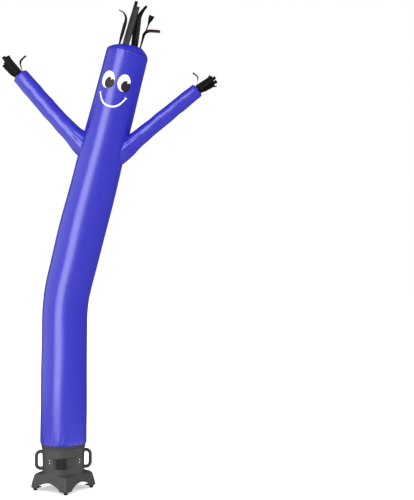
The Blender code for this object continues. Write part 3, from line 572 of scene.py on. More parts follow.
arm_rows = {}
for values in ARMS:
    arm = dict(zip(ARM_COLUMNS, values))
    length = math.dist(arm["shoulder"], arm["hand"])
    arm["length"] = length
    arm_rows[arm["name"]] = arm
    angle_arm = (2 * math.pi * np.arange(ARM_SIDES) / ARM_SIDES)[None, :]
    trial = np.linspace(-ARM_ROOT / length, 0.55, 700)[:, None] + 0 * angle_arm
    outside = off_tube(sleeve_points(arm, trial, angle_arm + 0 * trial))[0] > 0.0008
    first_out = trial.shape[0] - np.argmin(outside[::-1], axis=0)
    meet = trial[np.clip(first_out, 0, trial.shape[0] - 1), np.arange(ARM_SIDES)][None, :]
    last = 1 - HAND_END / length
    rows_arm = np.linspace(0.0, 1.0, 96)[:, None] ** 1.25
    shares = meet + (last - meet) * rows_arm
    cloth_points = sleeve_points(arm, shares, angle_arm + 0 * shares)
    foot_row = cloth_points[:1]
    normal = off_tube(foot_row)[1]
    outward = foot_row - arm_line(arm, meet)[0]
    outward = outward - np.sum(outward * normal, axis=-1)[..., None] * normal
    outward = outward / np.linalg.norm(outward, axis=-1)[..., None]
    flange = [foot_row + outward * step - normal * drop for step, drop in FLANGE_ROWS]
    vent = HAND_VENT * arm["narrow"] / ARMS[0][6]
    gather = 0.0006 * np.sin(16 * angle_arm + np.sin(2 * angle_arm))
    tail = []
    for past, radius_end in (*TAIL_ROWS, (TAIL_VENT, vent / arm["narrow"])):
        end_centre, end_heading = arm_line(arm, np.full((1, ARM_SIDES), 1 + past / length))
        tail.append(ring_points(end_centre, end_heading, arm["narrow"] * radius_end + gather, angle_arm))
    points = np.concatenate(flange + [cloth_points] + tail)
    run = np.linalg.norm(np.diff(points, axis=0), axis=-1).mean(axis=1)
    run = running(run)[:, None]
    arc = 2 * math.pi * arm["wide"] * np.arange(ARM_SIDES + 1)[None, :] / ARM_SIDES
    maps = both_maps(arc, run, np.minimum(run, run[-1] - run), arc)
    name = "sleeve_" + arm["name"]
    sleeve = add_piece(
        name, to_row(points), blue_nylon, "tube_fabric", "arm_" + arm["name"], maps=maps, wrap=True
    )
    thicken(sleeve, CLOTH)
    down = np.diff(points, axis=0)

# ------------------------------------------------------------------ face: eyes, pupils and smile
# Flat patches of matt nylon sewn on with a narrow satin stitch: two tall white ovals, a tilted dark
# pupil with a small notch on each, and a white bow with a short tick across each end.
PATCH = 0.0010
EYE_DROP = 0.221
EYE_ANGLE = math.radians(22.3)
EYE_HEIGHT = 0.119
EYE_WIDTHS = {"left": 0.096, "right": 0.089}
PUPIL_SIZE = (0.064, 0.074)
PUPIL_ACROSS = 0.0155
PUPIL_DOWN = 0.0190
PUPIL_TILT = math.radians(11)
NOTCH_ANGLE = math.radians(78)
NOTCH_DEPTH = 0.50
NOTCH_SPREAD = 0.20
EYE_ALONG = TUBE_TOP - EYE_DROP


def applique(name, colour, border, roughness):
    """Matt nylon with a close border of thread along its edge and a faint plain weave."""
    made, tree, shader = principled(name, colour, roughness, Specular_IOR_Level=0.3)
    across, sewn = map_axes(tree, "weave"), map_axes(tree, "edge")
    band = maths(tree, "LESS_THAN", sewn[0], 0.0016)
    tint(tree, shader, colour, border, band)
    satin = maths(tree, "MULTIPLY", band, every(tree, sewn[1], 0.0009))
    threads = [maths(tree, "MULTIPLY", every(tree, across[axis], 0.0014), 0.5) for axis in (0, 1)]
    height = maths(tree, "MULTIPLY_ADD", satin, 2.0, maths(tree, "ADD", *threads))
    emboss(tree, shader, height, 0.00012)
    return made


white_patch = applique("white_patch", (0.93, 0.93, 0.95), (0.16, 0.15, 0.24), 0.6)
white_thread = applique("white_thread", (0.93, 0.93, 0.95), (0.72, 0.72, 0.80), 0.6)
dark_patch = applique("dark_patch", (0.018, 0.016, 0.014), (0.006, 0.006, 0.006), 0.6)


def patch_points(along, angle, across, up, lift, shares):
    """A patch on the tube: its outline (across, up) drawn in to its middle by each share, and laid
    on the cloth at that height and angle."""
    shares = np.asarray(shares)[:, None]
    place = along + shares * up
    turned = angle + shares * across / tube_radius(along)
    return on_tube(place, turned, lift)


def add_patch(name, along, angle, across, up, lift, finish, slot, node):
    shares = np.array([1.0, 0.985, 0.95, 0.88, 0.76, 0.6, 0.42, 0.22, 0.0])
    points = patch_points(along, angle, across, up, lift, shares)
    points = np.concatenate((patch_points(along, angle, across, up, lift - 0.0004, [1.0]), points))
    spread = np.concatenate(([1.0], shares))[:, None]
    closing = np.append(np.arange(len(across)), 0)
    outline = np.hypot(np.diff(across[closing]), np.diff(up[closing]))
    run = running(outline)[None, :]
    half = min(np.ptp(across), np.ptp(up)) / 2
    maps = both_maps(spread * across[closing], spread * up[closing], (1 - spread) * half, run)
    piece = add_piece(name, to_row(points), finish, slot, node, maps=maps, wrap=True)
    thicken(piece, PATCH * 0.8, offset=1.0)
    return piece


turn = 2 * math.pi * np.arange(96) / 96
notch = 1 - NOTCH_DEPTH * np.exp(-(((turn - NOTCH_ANGLE) / NOTCH_SPREAD) ** 2))
pupil_x = notch * PUPIL_SIZE[0] / 2 * np.cos(turn)
pupil_z = notch * PUPIL_SIZE[1] / 2 * np.sin(turn)
pupil_across = pupil_x * math.cos(PUPIL_TILT) + pupil_z * math.sin(PUPIL_TILT)
pupil_up = pupil_z * math.cos(PUPIL_TILT) - pupil_x * math.sin(PUPIL_TILT)
for side, sign in (("left", -1), ("right", 1)):
    eye_across = EYE_WIDTHS[side] / 2 * np.cos(turn)
    eye_up = EYE_HEIGHT / 2 * np.sin(turn)
    add_patch(
        "eye_patch_" + side,
        EYE_ALONG,
        sign * EYE_ANGLE,
        eye_across,
        eye_up,
        0.0006,
        white_patch,
        "patch_white",
        "eye_" + side,
    )
    pupil_angle = sign * EYE_ANGLE + PUPIL_ACROSS / float(tube_radius(EYE_ALONG))
    add_patch(
        "pupil_patch_" + side,
        EYE_ALONG - PUPIL_DOWN,
        pupil_angle,
        pupil_across,
        pupil_up,
        0.0022,
        dark_patch,
        "patch_dark",
        "pupil_" + side,
    )

SMILE_ANGLE = math.radians(37)
SMILE_BOTTOM = TUBE_TOP - 0.312 - 0.082
SMILE_RISE = 0.082
SMILE_POWER = 2.4
SMILE_WIDTH = 0.0120
SMILE_END = 0.0080
SMILE_TICK = 0.021
tick = np.array([0.975, 0.987, 0.994, 1.0])
share = np.concatenate((-tick[::-1], np.linspace(-0.96, 0.96, 90), tick))[None, :]
bow = SMILE_BOTTOM + SMILE_RISE * np.abs(share) ** SMILE_POWER
slope = SMILE_RISE * SMILE_POWER * np.abs(share) ** (SMILE_POWER - 1) * np.sign(share)
run = SMILE_ANGLE * tube_radius(bow)
size = np.hypot(run, slope)
bow_width = SMILE_END + (SMILE_WIDTH - SMILE_END) * (1 - share**2)
bow_width = bow_width + (SMILE_TICK - bow_width) * smooth((np.abs(share) - 0.972) / 0.016)
side = np.linspace(-0.5, 0.5, 7)[:, None]
smile_along = bow + side * bow_width * run / size
smile_angle = share * SMILE_ANGLE - side * bow_width * slope / size / tube_radius(bow)
points = on_tube(smile_along, smile_angle, 0.0006 + 0.0003 * (1 - 4 * side**2))
steps = np.hypot(np.diff(bow[0]), SMILE_ANGLE * 0.146 * np.diff(share[0]))
length_run = running(steps)[None, :]
maps = both_maps(length_run, side * bow_width, (0.5 - np.abs(side)) * bow_width + 0.0008, length_run)
smile_bow = add_piece("smile_bow", to_row(points), white_thread, "patch_white", "smile", maps=maps)
thicken(smile_bow, PATCH * 0.8, offset=1.0)

# ------------------------------------------------------------------ hair and hand fringes
# Loose strips of thin black nylon, cut along the roll, sewn round the inside of each vent and
# thrown about by the air that leaves it. One hair strip is dark red over its outer part.
STRIP_COLUMNS = ("name", "around", "length", "width", "start", "end", "bend", "lean", "twist", "turn", "tip")
HAIR = (
    ("curl", 220, 0.254, 0.024, 2, -80, 0.77, 3, 0.15, -10, 0.25),
    ("front", 262, 0.262, 0.047, 3, 3, 0.50, 5, 0.10, -4, 0.95),
    ("sheen", 315, 0.206, 0.022, -4, -6, 0.60, 7, 0.10, 8, 0.80),
    ("drop", 352, 0.223, 0.022, 1, 82, 0.55, 5, 0.45, 25, 0.95),
    ("fan", 24, 0.252, 0.037, 3, 6, 0.50, -4, 0.88, 12, 1.00),
    ("back", 76, 0.325, 0.050, -8, 24, 0.72, -5, 0.10, 6, 0.36),
    ("side", 124, 0.333, 0.028, -1, -1, 0.50, -6, 0.10, -6, 0.80),
)
FRINGE_LEFT = (
    ("upper", 300, 0.146, 0.030, 1, 20, 0.85, 3, 0.10, 0, 1.00),
    ("flyer", 352, 0.130, 0.014, 25, 90, 0.57, -3, 0.42, 40, 0.90),
    ("rear", 92, 0.156, 0.030, -9, -9, 0.50, -5, 0.10, 4, 0.90),
    ("curve", 133, 0.146, 0.016, 2, -32, 0.66, -2, 0.10, 10, 0.70),
    ("lowest", 160, 0.082, 0.014, 4, -20, 0.60, 0, 0.10, 20, 0.40),
    ("lower", 197, 0.124, 0.026, -2, -4, 0.50, 3, 0.24, -10, 0.85),
    ("front", 248, 0.158, 0.030, 6, 6, 0.50, 9, 0.10, 0, 0.80),
)
FRINGE_RIGHT = (
    ("upper", 300, 0.126, 0.026, -7, 24, 0.85, 3, 0.10, 0, 1.00),
    ("flyer", 352, 0.112, 0.012, 36, 104, 0.57, -3, 0.42, 40, 0.90),
    ("rear", 92, 0.140, 0.026, -14, -12, 0.50, -5, 0.10, 4, 0.90),
    ("curve", 133, 0.124, 0.014, -8, -44, 0.66, -2, 0.10, 10, 0.70),
    ("lowest", 160, 0.078, 0.012, -4, -36, 0.60, 0, 0.10, 20, 0.40),
    ("lower", 197, 0.110, 0.023, -11, -13, 0.50, 3, 0.24, -10, 0.85),
    ("front", 248, 0.144, 0.026, -3, -3, 0.50, 9, 0.10, 0, 0.80),
)
HAIR_RING = 0.077
HAIR_TUCK = 0.022
FRINGE_RING = 0.0335
FRINGE_TUCK = 0.016
STRIP_ROWS = 64
STRIP_COLS = 9
RIBBON = 0.0009
BEND_SPREAD = 0.22
TWIST_SPREAD = 0.20
TIP_START = 0.45
RED_START = 0.64
# Strips that show their shinier coated side; their lighter base colour is painted sheen.
COATED_PAINTED_SHEEN_STRIPS = ("hair_front", "hair_sheen")

black_nylon = nylon("black_nylon", (0.004, 0.004, 0.004), (0.01, 0.01, 0.01), 0.48, Specular_IOR_Level=0.08)
# A lighter, glossier copy of the black nylon for those strips: the doubled base colour is painted sheen
# where they catch the softbox, and the higher specular is the shinier coat.
coated_painted_sheen = nylon("coated_painted_sheen", (0.008, 0.008, 0.008), (0.02, 0.02, 0.02), 0.42, Specular_IOR_Level=0.24)
red_nylon = nylon("red_nylon", (0.028, 0.002, 0.006), (0.03, 0.01, 0.01), 0.45, Specular_IOR_Level=0.15)


def strip_points(vent, axis, across, ring_radius, tuck, row):
    """A strip as a line of cross-sections: it stands on the vent ring with its face to the axis,
    turns its heading about one place and swings its edge round to its end's turn. Each section is
    cupped a little, and the free end ripples."""
    around = math.radians(row["around"])
    whole = row["length"] + tuck
    out = np.linspace(0.0, 1.0, STRIP_ROWS)
    free = np.clip((out * whole - tuck) / row["length"], 0.0, 1.0)
    share = smooth((free - row["bend"] + BEND_SPREAD) / (2 * BEND_SPREAD))
    heading = np.radians(row["start"] + (row["end"] - row["start"]) * share) * smooth(free * 6)
    lean = np.radians(row["lean"]) * smooth(free * 6)
    forward = np.cos(heading)[:, None] * axis + np.sin(heading)[:, None] * across
    direction = np.cos(lean)[:, None] * forward - np.sin(lean)[:, None] * BACK
    steps = whole / (STRIP_ROWS - 1) * (direction[1:] + direction[:-1]) / 2
    foot = vent + ring_radius * (math.cos(around) * across + math.sin(around) * BACK) - tuck * axis
    line = foot + np.vstack((np.zeros(3), np.cumsum(steps, axis=0)))
    in_plane = np.cos(heading)[:, None] * across - np.sin(heading)[:, None] * axis
    out_of_plane = np.sin(lean)[:, None] * forward + np.cos(lean)[:, None] * BACK
    first = math.degrees(math.atan2(math.cos(around), -math.sin(around)))
    first = (first + 90.0) % 180.0 - 90.0
    swing = smooth((free - row["twist"] + TWIST_SPREAD) / (2 * TWIST_SPREAD))
    turned = np.radians(first + (row["turn"] - first) * swing)
    edge = np.cos(turned)[:, None] * in_plane + np.sin(turned)[:, None] * out_of_plane
    face = np.cross(direction, edge)
    width = row["width"] * (1 - (1 - row["tip"]) * smooth((free - TIP_START) / (1 - TIP_START)))
    side = np.linspace(-0.5, 0.5, STRIP_COLS)
    cup = 0.08 * (1 - 4 * side**2)[None, :] * width[:, None] * smooth(free * 3)[:, None]
    ripple = 0.0016 * np.sin(16 * free + row["around"])[:, None] * side[None, :] * free[:, None]
    points = line[:, None, :] + (side[None, :] * width[:, None])[..., None] * edge[:, None, :]
    return points + (cup + ripple)[..., None] * face[:, None, :]


def add_strips(prefix, table, vent, axis, across, ring_radius, tuck):
    """Adds the strips of a table, sewn round a vent, with the named piece holding them."""
    for values in table:
        row = dict(zip(STRIP_COLUMNS, values))
        node = prefix + row["name"]
        points = strip_points(vent, axis, across, ring_radius, tuck, row)
        run = np.linspace(0.0, row["length"] + tuck, STRIP_ROWS)[:, None]
        side = row["width"] * np.linspace(-0.5, 0.5, STRIP_COLS)[None, :]
        maps = both_maps(side, run, run, side)
        name = node + "_strip"
        finish = coated_painted_sheen if node in COATED_PAINTED_SHEEN_STRIPS else black_nylon
        strip = add_piece(name, to_row(points), finish, "strip_fabric", node, maps=maps)
        if node == "hair_drop":
            strip.data.materials.append(red_nylon)
            bent = np.repeat(np.arange(STRIP_ROWS - 1) > RED_START * STRIP_ROWS, STRIP_COLS - 1)
            strip.data.polygons.foreach_set("material_index", bent.astype(np.int32))
        thicken(strip, RIBBON)


crown = head_centre + cap_height(VENT_RADIUS) * head_axis
add_strips("hair_", HAIR, crown, head_axis, head_across, HAIR_RING, HAIR_TUCK)
for arm, table in zip(arm_rows.values(), (FRINGE_LEFT, FRINGE_RIGHT)):
    heading = math.radians(arm["heading_out"])
    hand_axis = np.array([math.sin(heading), 0.0, math.cos(heading)])
    upward = np.array([math.cos(heading), 0.0, -math.sin(heading)]) * (1 if heading < 0 else -1)
    vent = np.array([arm["hand"][0], 0.0, arm["hand"][1]]) + (HAND_END + 0.002) * hand_axis
    ring_radius = FRINGE_RING * arm["narrow"] / ARMS[0][6]
    prefix = "fringe_" + arm["name"] + "_"
    add_strips(prefix, table, vent, hand_axis, upward, ring_radius, FRINGE_TUCK)

# ------------------------------------------------------------------ blower housing
# One rotomoulded shell of grained grey plastic: a barrel with a collar for the dancer's hem on top,
# running out over a smooth shoulder into a square skirt that is arched up between its four legs.
LEG_FOOT = 0.0186
SKIRT_HALF = 0.158
WALL = 0.0040
ARCH_HALF = 0.1020
ARCH_FOOT = 0.0165
ARCH_RISE = 0.0470
ARCH_POWER = 1.6
BARREL_FOOT = (0.1392, 0.1201)
BARREL_TOP = (0.1433, 0.2789)
# outer side of the barrel from the rim down: height, radius
BARREL_ROWS = (
    (0.3471, 0.1436), (0.3469, 0.1447), (0.3456, 0.1453), (0.3409, 0.1453), (0.3388, 0.1456),
    (0.3376, 0.1479), (0.3363, 0.1489), (0.3335, 0.1489), (0.3306, 0.1489), (0.3293, 0.1479),
    (0.3283, 0.1446), (0.3264, 0.1439), (0.3099, 0.1438), (0.2975, 0.1438), (0.2961, 0.1444),
    (0.2948, 0.1473), (0.2936, 0.1481), (0.2908, 0.1481), (0.2878, 0.1481), (0.2866, 0.1473),
    (0.2851, 0.1441), (0.2837, 0.1435), (0.2789, 0.1433), (0.2479, 0.1425), (0.2066, 0.1415),
)
# and on down the shoulder: height, round radius, half across the flats, corner radius, squareness
SHOULDER_ROWS = (
    (0.1653, 0.1404, 0.1479, 0.0510, 0.00),
    (0.1395, 0.1397, 0.1428, 0.0408, 0.00),
    (0.1276, 0.1395, 0.1418, 0.0408, 0.00),
    (0.1229, 0.1399, 0.1420, 0.0449, 0.04),
    (0.1211, 0.1406, 0.1420, 0.0408, 0.16),
    (0.1188, 0.1408, 0.1421, 0.0367, 0.42),
    (0.1155, 0.1408, 0.1423, 0.0337, 0.72),
    (0.1118, 0.1418, 0.1426, 0.0306, 0.93),
    (0.1074, 0.1428, 0.1437, 0.0265, 1.00),
    (0.1012, 0.1428, 0.1456, 0.0226, 1.00),
    (0.0930, 0.1428, 0.1474, 0.0222, 1.00),
)
ROUND_ABOVE = (0.1530, 0.0510, 0.00)
OUTER_ROWS = np.array([(*row, *ROUND_ABOVE) for row in BARREL_ROWS] + list(SHOULDER_ROWS))
# skirt's outer and inner sides: height, half across the flats; and the bore: height, radius
SIDE_ROWS = ((0.0186, 0.1591), (0.0248, 0.1603), (0.0620, 0.1542), (0.0930, 0.1471))
SIDE_CORNER = 0.0218
INNER_ROWS = ((0.0186, 0.1551), (0.0248, 0.1563), (0.0620, 0.1502), (0.1033, 0.1410), (0.1136, 0.1377))
INNER_CORNER = 0.0178
INNER_FOOT = 0.0047
INNER_TOP = 0.1095
EDGE_ROUND = 0.0016
ARCH_PLANE = 0.1576
BORE_ROWS = np.array(
    [
        (0.1121, 0.1489), (0.1145, 0.1408), (0.1157, 0.1362), (0.1183, 0.1352),
        (0.1550, 0.1361), (0.2789, 0.1392), (0.3461, 0.1418), (0.3471, 0.1426),
    ]
)
ARCH_SHARE = 0.64         # share of each side's columns that lie over the arch
QUARTER_STEPS = 132
flat_share = np.linspace(-1.0, 1.0, QUARTER_STEPS + 1)[:-1]
on_arch = ARCH_HALF * np.sin(math.pi / 2 * np.clip(flat_share / ARCH_SHARE, -1.0, 1.0))
past_arch = np.clip((np.abs(flat_share) - ARCH_SHARE) / (1 - ARCH_SHARE), 0.0, 1.0)
flat_x = on_arch + np.sign(flat_share) * (SKIRT_HALF - ARCH_HALF) * past_arch
flat_turn = np.arctan(flat_x / SKIRT_HALF)
theta = np.concatenate([flat_turn + math.pi / 4 + quarter * math.pi / 2 for quarter in range(4)])
flat_angle = np.tile(flat_turn, 4)[None, :]
local = math.pi / 4 - np.abs(flat_angle)


def rounded_square(half, corner):
    """Distance from the middle to a square that stands on its corners: half / cos of the angle off
    the flat's middle, and an arc of the corner's radius round each corner."""
    reach = (half - corner) * math.sqrt(2.0)
    flat = half / np.cos(flat_angle)
    touch = np.arctan2(corner / math.sqrt(2.0), reach + corner / math.sqrt(2.0))
    inside = np.maximum(corner**2 - (reach * np.sin(local)) ** 2, 0.0)
    return np.where(local < touch, reach * np.cos(local) + np.sqrt(inside), flat)


def spline_rows(rows, per_span):
    """Cubic B-spline over a list of rows, with both end rows kept: it rounds every corner between
    rows by about a third of their spacing."""
    rows = np.concatenate((2 * rows[:1] - rows[1:2], rows, 2 * rows[-1:] - rows[-2:-1]))
    at = np.linspace(0.0, len(rows) - 3, (len(rows) - 3) * per_span + 1)
    span = np.minimum(at.astype(int), len(rows) - 4)
    t = (at - span)[:, None]
    parts = ((1 - t) ** 3, 3 * t**3 - 6 * t**2 + 4, -3 * t**3 + 3 * t**2 + 3 * t + 1, t**3)
    return sum(part * rows[span + step] for step, part in enumerate(parts)) / 6


outer = spline_rows(OUTER_ROWS, 3)
square = rounded_square(outer[:, 2:3], outer[:, 3:4])
outer_radius = outer[:, 1:2] * (1 - outer[:, 4:5]) + square * outer[:, 4:5]
outer_height = outer[:, :1] + 0 * outer_radius

arch_x = np.abs(np.tan(flat_angle) * ARCH_PLANE) / ARCH_HALF
arch = ARCH_FOOT + ARCH_RISE * np.maximum(1 - arch_x**ARCH_POWER, 0.0) ** (1 / ARCH_POWER)
edge_height = np.maximum(arch, LEG_FOOT)
down = np.linspace(0.0, 1.0, 26)[1:, None]
side_height = outer[-1, 0] + (edge_height + EDGE_ROUND - outer[-1, 0]) * down
half_at = np.interp(side_height, *np.transpose(SIDE_ROWS))
side_radius = rounded_square(half_at, SIDE_CORNER)
edge_radius = side_radius[-1:]
leg_inner = np.minimum(edge_radius - WALL, ARCH_HALF / np.sin(np.maximum(math.pi / 4 - local, 0.3)))
under = (
    (edge_radius - 0.0005, edge_height + 0.0005),
    (edge_radius - EDGE_ROUND, edge_height),
    (leg_inner + 0.0012, edge_height),
    (leg_inner + 0.0003, edge_height + 0.0004),
    (leg_inner, edge_height + 0.0012),
    (leg_inner, edge_height + 0.0036),
    (leg_inner + 0.0006, edge_height + 0.0045),
)
under_radius = np.concatenate([item[0] for item in under])
under_height = np.concatenate([item[1] for item in under])
inner_up = np.linspace(0.0, 1.0, 14)[:, None]
inner_height = edge_height + INNER_FOOT + (INNER_TOP - edge_height - INNER_FOOT) * inner_up
inner_half = np.interp(inner_height, *np.transpose(INNER_ROWS))
inner_radius = rounded_square(inner_half, INNER_CORNER)
bore_height = BORE_ROWS[:, :1] + 0 * flat_angle
bore_radius = BORE_ROWS[:, 1:] + 0 * flat_angle
bore_radius[0] = np.minimum(bore_radius[0], inner_radius[-1])
all_radius = np.concatenate((outer_radius, side_radius, under_radius, inner_radius, bore_radius))
all_height = np.concatenate((outer_height, side_height, under_height, inner_height, bore_height))
points = np.stack((all_radius * np.cos(theta), all_radius * np.sin(theta), all_height), axis=-1)[::-1] + AXIS


def moulded(name, colour, roughness, grain):
    """Moulded plastic: fine pebbled grain over the whole surface, slow changes of shade from the
    mould, and small scuffs that are a little lighter."""
    made, tree, shader = principled(name, colour, roughness, Specular_IOR_Level=0.45)
    cloud = noise(tree, Scale=9.0, Detail=4.0, Roughness=0.6)
    place = add_node(tree, "ShaderNodeTexCoord").outputs["Object"]
    pebble = add_node(tree, "ShaderNodeTexVoronoi", {"Vector": place, "Scale": grain})
    scuff = noise(tree, Scale=60.0, Detail=6.0, Distortion=1.5)
    worn = maths(tree, "MULTIPLY", maths(tree, "SUBTRACT", scuff, 0.62), 3.0)
    worn = maths(tree, "MAXIMUM", worn, 0.0)
    shade = maths(tree, "MULTIPLY_ADD", cloud, 0.5, worn)
    tint(tree, shader, colour, tuple(1.28 * part for part in colour), shade)
    matt = maths(tree, "MULTIPLY_ADD", cloud, 0.12, roughness - 0.06)
    tree.links.new(matt, shader.inputs["Roughness"])
    emboss(tree, shader, pebble.outputs["Distance"], 0.00010)
    return made


housing_plastic = moulded("housing_plastic", (0.035, 0.035, 0.0355), 0.55, 900.0)
# A darker copy of the housing plastic for the handles: the darker base colour is painted shade, as the bars
# sit in less light than the barrel.
grip_painted_shade = moulded("grip_painted_shade", (0.027, 0.027, 0.0275), 0.55, 900.0)
add_piece(
    "housing_shell", points, housing_plastic, "housing", "barrel", "base_skirt", wrap=True, loop=True
)

# ------------------------------------------------------------------ carrying handles
# A round bar on each side, moulded with the barrel: out, down and back in, with a fillet all round
# where it joins.
HANDLE_RADIUS = 0.0115
HANDLE_REACH = 0.1824
HANDLE_LOW = 0.1460
HANDLE_HIGH = 0.2606
HANDLE_CORNER = 0.030
HANDLE_FILLET = 0.007
BAR_SIDES = 40
BAR_SUNK = 0.003


def barrel_radius(height):
    """Outer radius of the tapered barrel."""
    slope = (BARREL_TOP[0] - BARREL_FOOT[0]) / (BARREL_TOP[1] - BARREL_FOOT[1])
    return BARREL_FOOT[0] + slope * (height - BARREL_FOOT[1])


bend = np.linspace(0.0, math.pi / 2, 15)
inner_x = HANDLE_REACH - HANDLE_CORNER
approach = np.linspace(barrel_radius(HANDLE_HIGH) - BAR_SUNK, inner_x, 26)[:-1]
leave = np.linspace(inner_x, barrel_radius(HANDLE_LOW) - BAR_SUNK, 26)[1:]
grip = np.linspace(HANDLE_HIGH - HANDLE_CORNER, HANDLE_LOW + HANDLE_CORNER, 18)[1:-1]
reach_x = np.concatenate(
    (
        approach,
        inner_x + HANDLE_CORNER * np.sin(bend),
        np.full_like(grip, HANDLE_REACH),
        inner_x + HANDLE_CORNER * np.cos(bend),
        leave,
    )
)
reach_z = np.concatenate(
    (
        np.full_like(approach, HANDLE_HIGH),
        HANDLE_HIGH - HANDLE_CORNER + HANDLE_CORNER * np.cos(bend),
        grip,
        HANDLE_LOW + HANDLE_CORNER - HANDLE_CORNER * np.sin(bend),
        np.full_like(leave, HANDLE_LOW),
    )
)
tangent = np.stack((np.gradient(reach_x), np.gradient(reach_z)), axis=-1)
tangent = tangent / np.linalg.norm(tangent, axis=-1)[:, None]
gap = np.clip(reach_x - barrel_radius(reach_z), 0.0, HANDLE_FILLET)
fillet = HANDLE_FILLET - np.sqrt(np.maximum(HANDLE_FILLET**2 - (HANDLE_FILLET - gap) ** 2, 0.0))
bar = (HANDLE_RADIUS + fillet)[:, None]
turn = (2 * math.pi * np.arange(BAR_SIDES) / BAR_SIDES)[None, :]
bar_x = reach_x[:, None] - tangent[:, 1:] * bar * np.cos(turn)
bar_z = reach_z[:, None] + tangent[:, :1] * bar * np.cos(turn)
bar_y = bar * np.sin(turn)
ends = [np.full((1, BAR_SIDES), value[end]) for end in (0, -1) for value in (reach_x, reach_z)]
bar_x = np.concatenate((ends[0], bar_x, ends[2]))
bar_z = np.concatenate((ends[1], bar_z, ends[3]))
bar_y = np.pad(bar_y, ((1, 1), (0, 0)))
for word, sign in (("right", 1.0), ("left", -1.0)):
    points = np.stack((sign * bar_x, sign * bar_y, bar_z), axis=-1) + AXIS
    add_piece("grip_" + word, points, grip_painted_shade, "housing", "handle_" + word, wrap=True)

# ------------------------------------------------------------------ strap
# A band of woven webbing, pulled tight round the collar over the dancer's hem.
STRAP_RADIUS = 0.1481
STRAP_THICK = 0.0016
STRAP_LOW = 0.2971
STRAP_HIGH = 0.3213
STRAP_SIDES = 288
webbing, tree, shader = principled("webbing", (0.046, 0.046, 0.048), 0.75, Specular_IOR_Level=0.25)
across = map_axes(tree, "weave")
warp = every(tree, across[0], 0.0016)
weft = every(tree, across[1], 0.0022)
twill = every(tree, maths(tree, "ADD", across[0], across[1]), 0.0032)
height = maths(tree, "MULTIPLY", maths(tree, "ADD", warp, weft), maths(tree, "ADD", twill, 0.4))
tint(tree, shader, (0.030, 0.030, 0.032), (0.066, 0.066, 0.068), height)
emboss(tree, shader, height, 0.0006)


def turned_points(profile, centre, sides):
    """A profile of (radius, height) turned about an upright axis through the centre."""
    turn = (2 * math.pi * np.arange(sides) / sides)[None, :]
    profile = np.asarray(profile)
    radius, height = profile[:, :1], profile[:, 1:]
    return np.stack((radius * np.cos(turn), radius * np.sin(turn), height + 0 * turn), axis=-1) + centre


STRAP_CORNER = 0.0005
STRAP_EDGE = 0.008
strap_outer = STRAP_RADIUS + STRAP_THICK
strap_profile = np.array(
    [
        (STRAP_RADIUS, STRAP_LOW + STRAP_CORNER),
        (STRAP_RADIUS + STRAP_CORNER, STRAP_LOW),
        (strap_outer - STRAP_CORNER, STRAP_LOW),
        (strap_outer, STRAP_LOW + STRAP_CORNER),
        (strap_outer, STRAP_LOW + STRAP_EDGE),
        (strap_outer, STRAP_HIGH - STRAP_EDGE),
        (strap_outer, STRAP_HIGH - STRAP_CORNER),
        (strap_outer - STRAP_CORNER, STRAP_HIGH),
        (STRAP_RADIUS + STRAP_CORNER, STRAP_HIGH),
        (STRAP_RADIUS, STRAP_HIGH - STRAP_CORNER),
    ]
)
points = turned_points(strap_profile, AXIS, STRAP_SIDES)
profile_steps = np.linalg.norm(np.diff(strap_profile, axis=0), axis=1)
profile_run = np.concatenate(([0.0], np.cumsum(profile_steps), [0.052]))[:, None]
strap_arc = 2 * math.pi * STRAP_RADIUS * np.arange(STRAP_SIDES + 1)[None, :] / STRAP_SIDES
maps = {"weave": np.stack(np.broadcast_arrays(strap_arc, profile_run), axis=-1)}
add_piece("strap_band", points, webbing, "strap", "strap", maps=maps, wrap=True, loop=True)

# ------------------------------------------------------------------ label, feet, screws and guards
# A blank glossy plate on the barrel's front, rubber feet, plated screws, and plain guards.
LABEL_HALF = math.radians(32.5)
LABEL_LOW = 0.1575
LABEL_HIGH = 0.2324
LABEL_CORNER = 0.006
LABEL_GAP = 0.0004
label_gloss, tree, shader = principled("label_gloss", (0.017, 0.017, 0.0175), 0.16)
half_width = LABEL_HALF * barrel_radius(0.195)
half_height = (LABEL_HIGH - LABEL_LOW) / 2
straight = np.array((half_width - LABEL_CORNER, half_height - LABEL_CORNER))
quarter = np.linspace(0.0, math.pi / 2, 9)
arcs = []
for index, corner in enumerate(((1, 1), (-1, 1), (-1, -1), (1, -1))):
    bend = quarter + index * math.pi / 2
    arcs.append(straight * corner + LABEL_CORNER * np.stack((np.cos(bend), np.sin(bend)), axis=-1))
steps = np.linspace(0.0, 1.0, 14)[1:-1, None]
outline = []
for arc, following in zip(arcs, arcs[1:] + arcs[:1]):
    outline += [arc, arc[-1] + (following[0] - arc[-1]) * steps]
outline = np.concatenate(outline)
shares = np.array([1.0, 1.0, 0.994, 0.98, 0.9, 0.7, 0.4, 0.0])[:, None]
lifts = np.array([0.0004, 0.0012, 0.0016, 0.0018, 0.0018, 0.0018, 0.0018, 0.0018])[:, None]
label_middle = (LABEL_LOW + LABEL_HIGH) / 2
label_z = label_middle + shares * outline[None, :, 1]
label_angle = shares * outline[None, :, 0] / barrel_radius(0.195) - math.pi / 2
label_r = barrel_radius(label_z) + lifts
points = np.stack((label_r * np.cos(label_angle), label_r * np.sin(label_angle), label_z), axis=-1)
under_centre = np.array([0.0, -barrel_radius(label_middle) - LABEL_GAP, label_middle])
under_rows = [under_centre + (points[:1] - under_centre) * value for value in (0.0, 0.4, 0.75)]
for row in under_rows:
    row_angle = np.arctan2(row[..., 1], row[..., 0])
    row_r = barrel_radius(row[..., 2]) + LABEL_GAP
    row[..., 0], row[..., 1] = row_r * np.cos(row_angle), row_r * np.sin(row_angle)
points = np.concatenate(under_rows + [points]) + AXIS
add_piece("label_blank", points, label_gloss, "label", "label_plate", wrap=True)


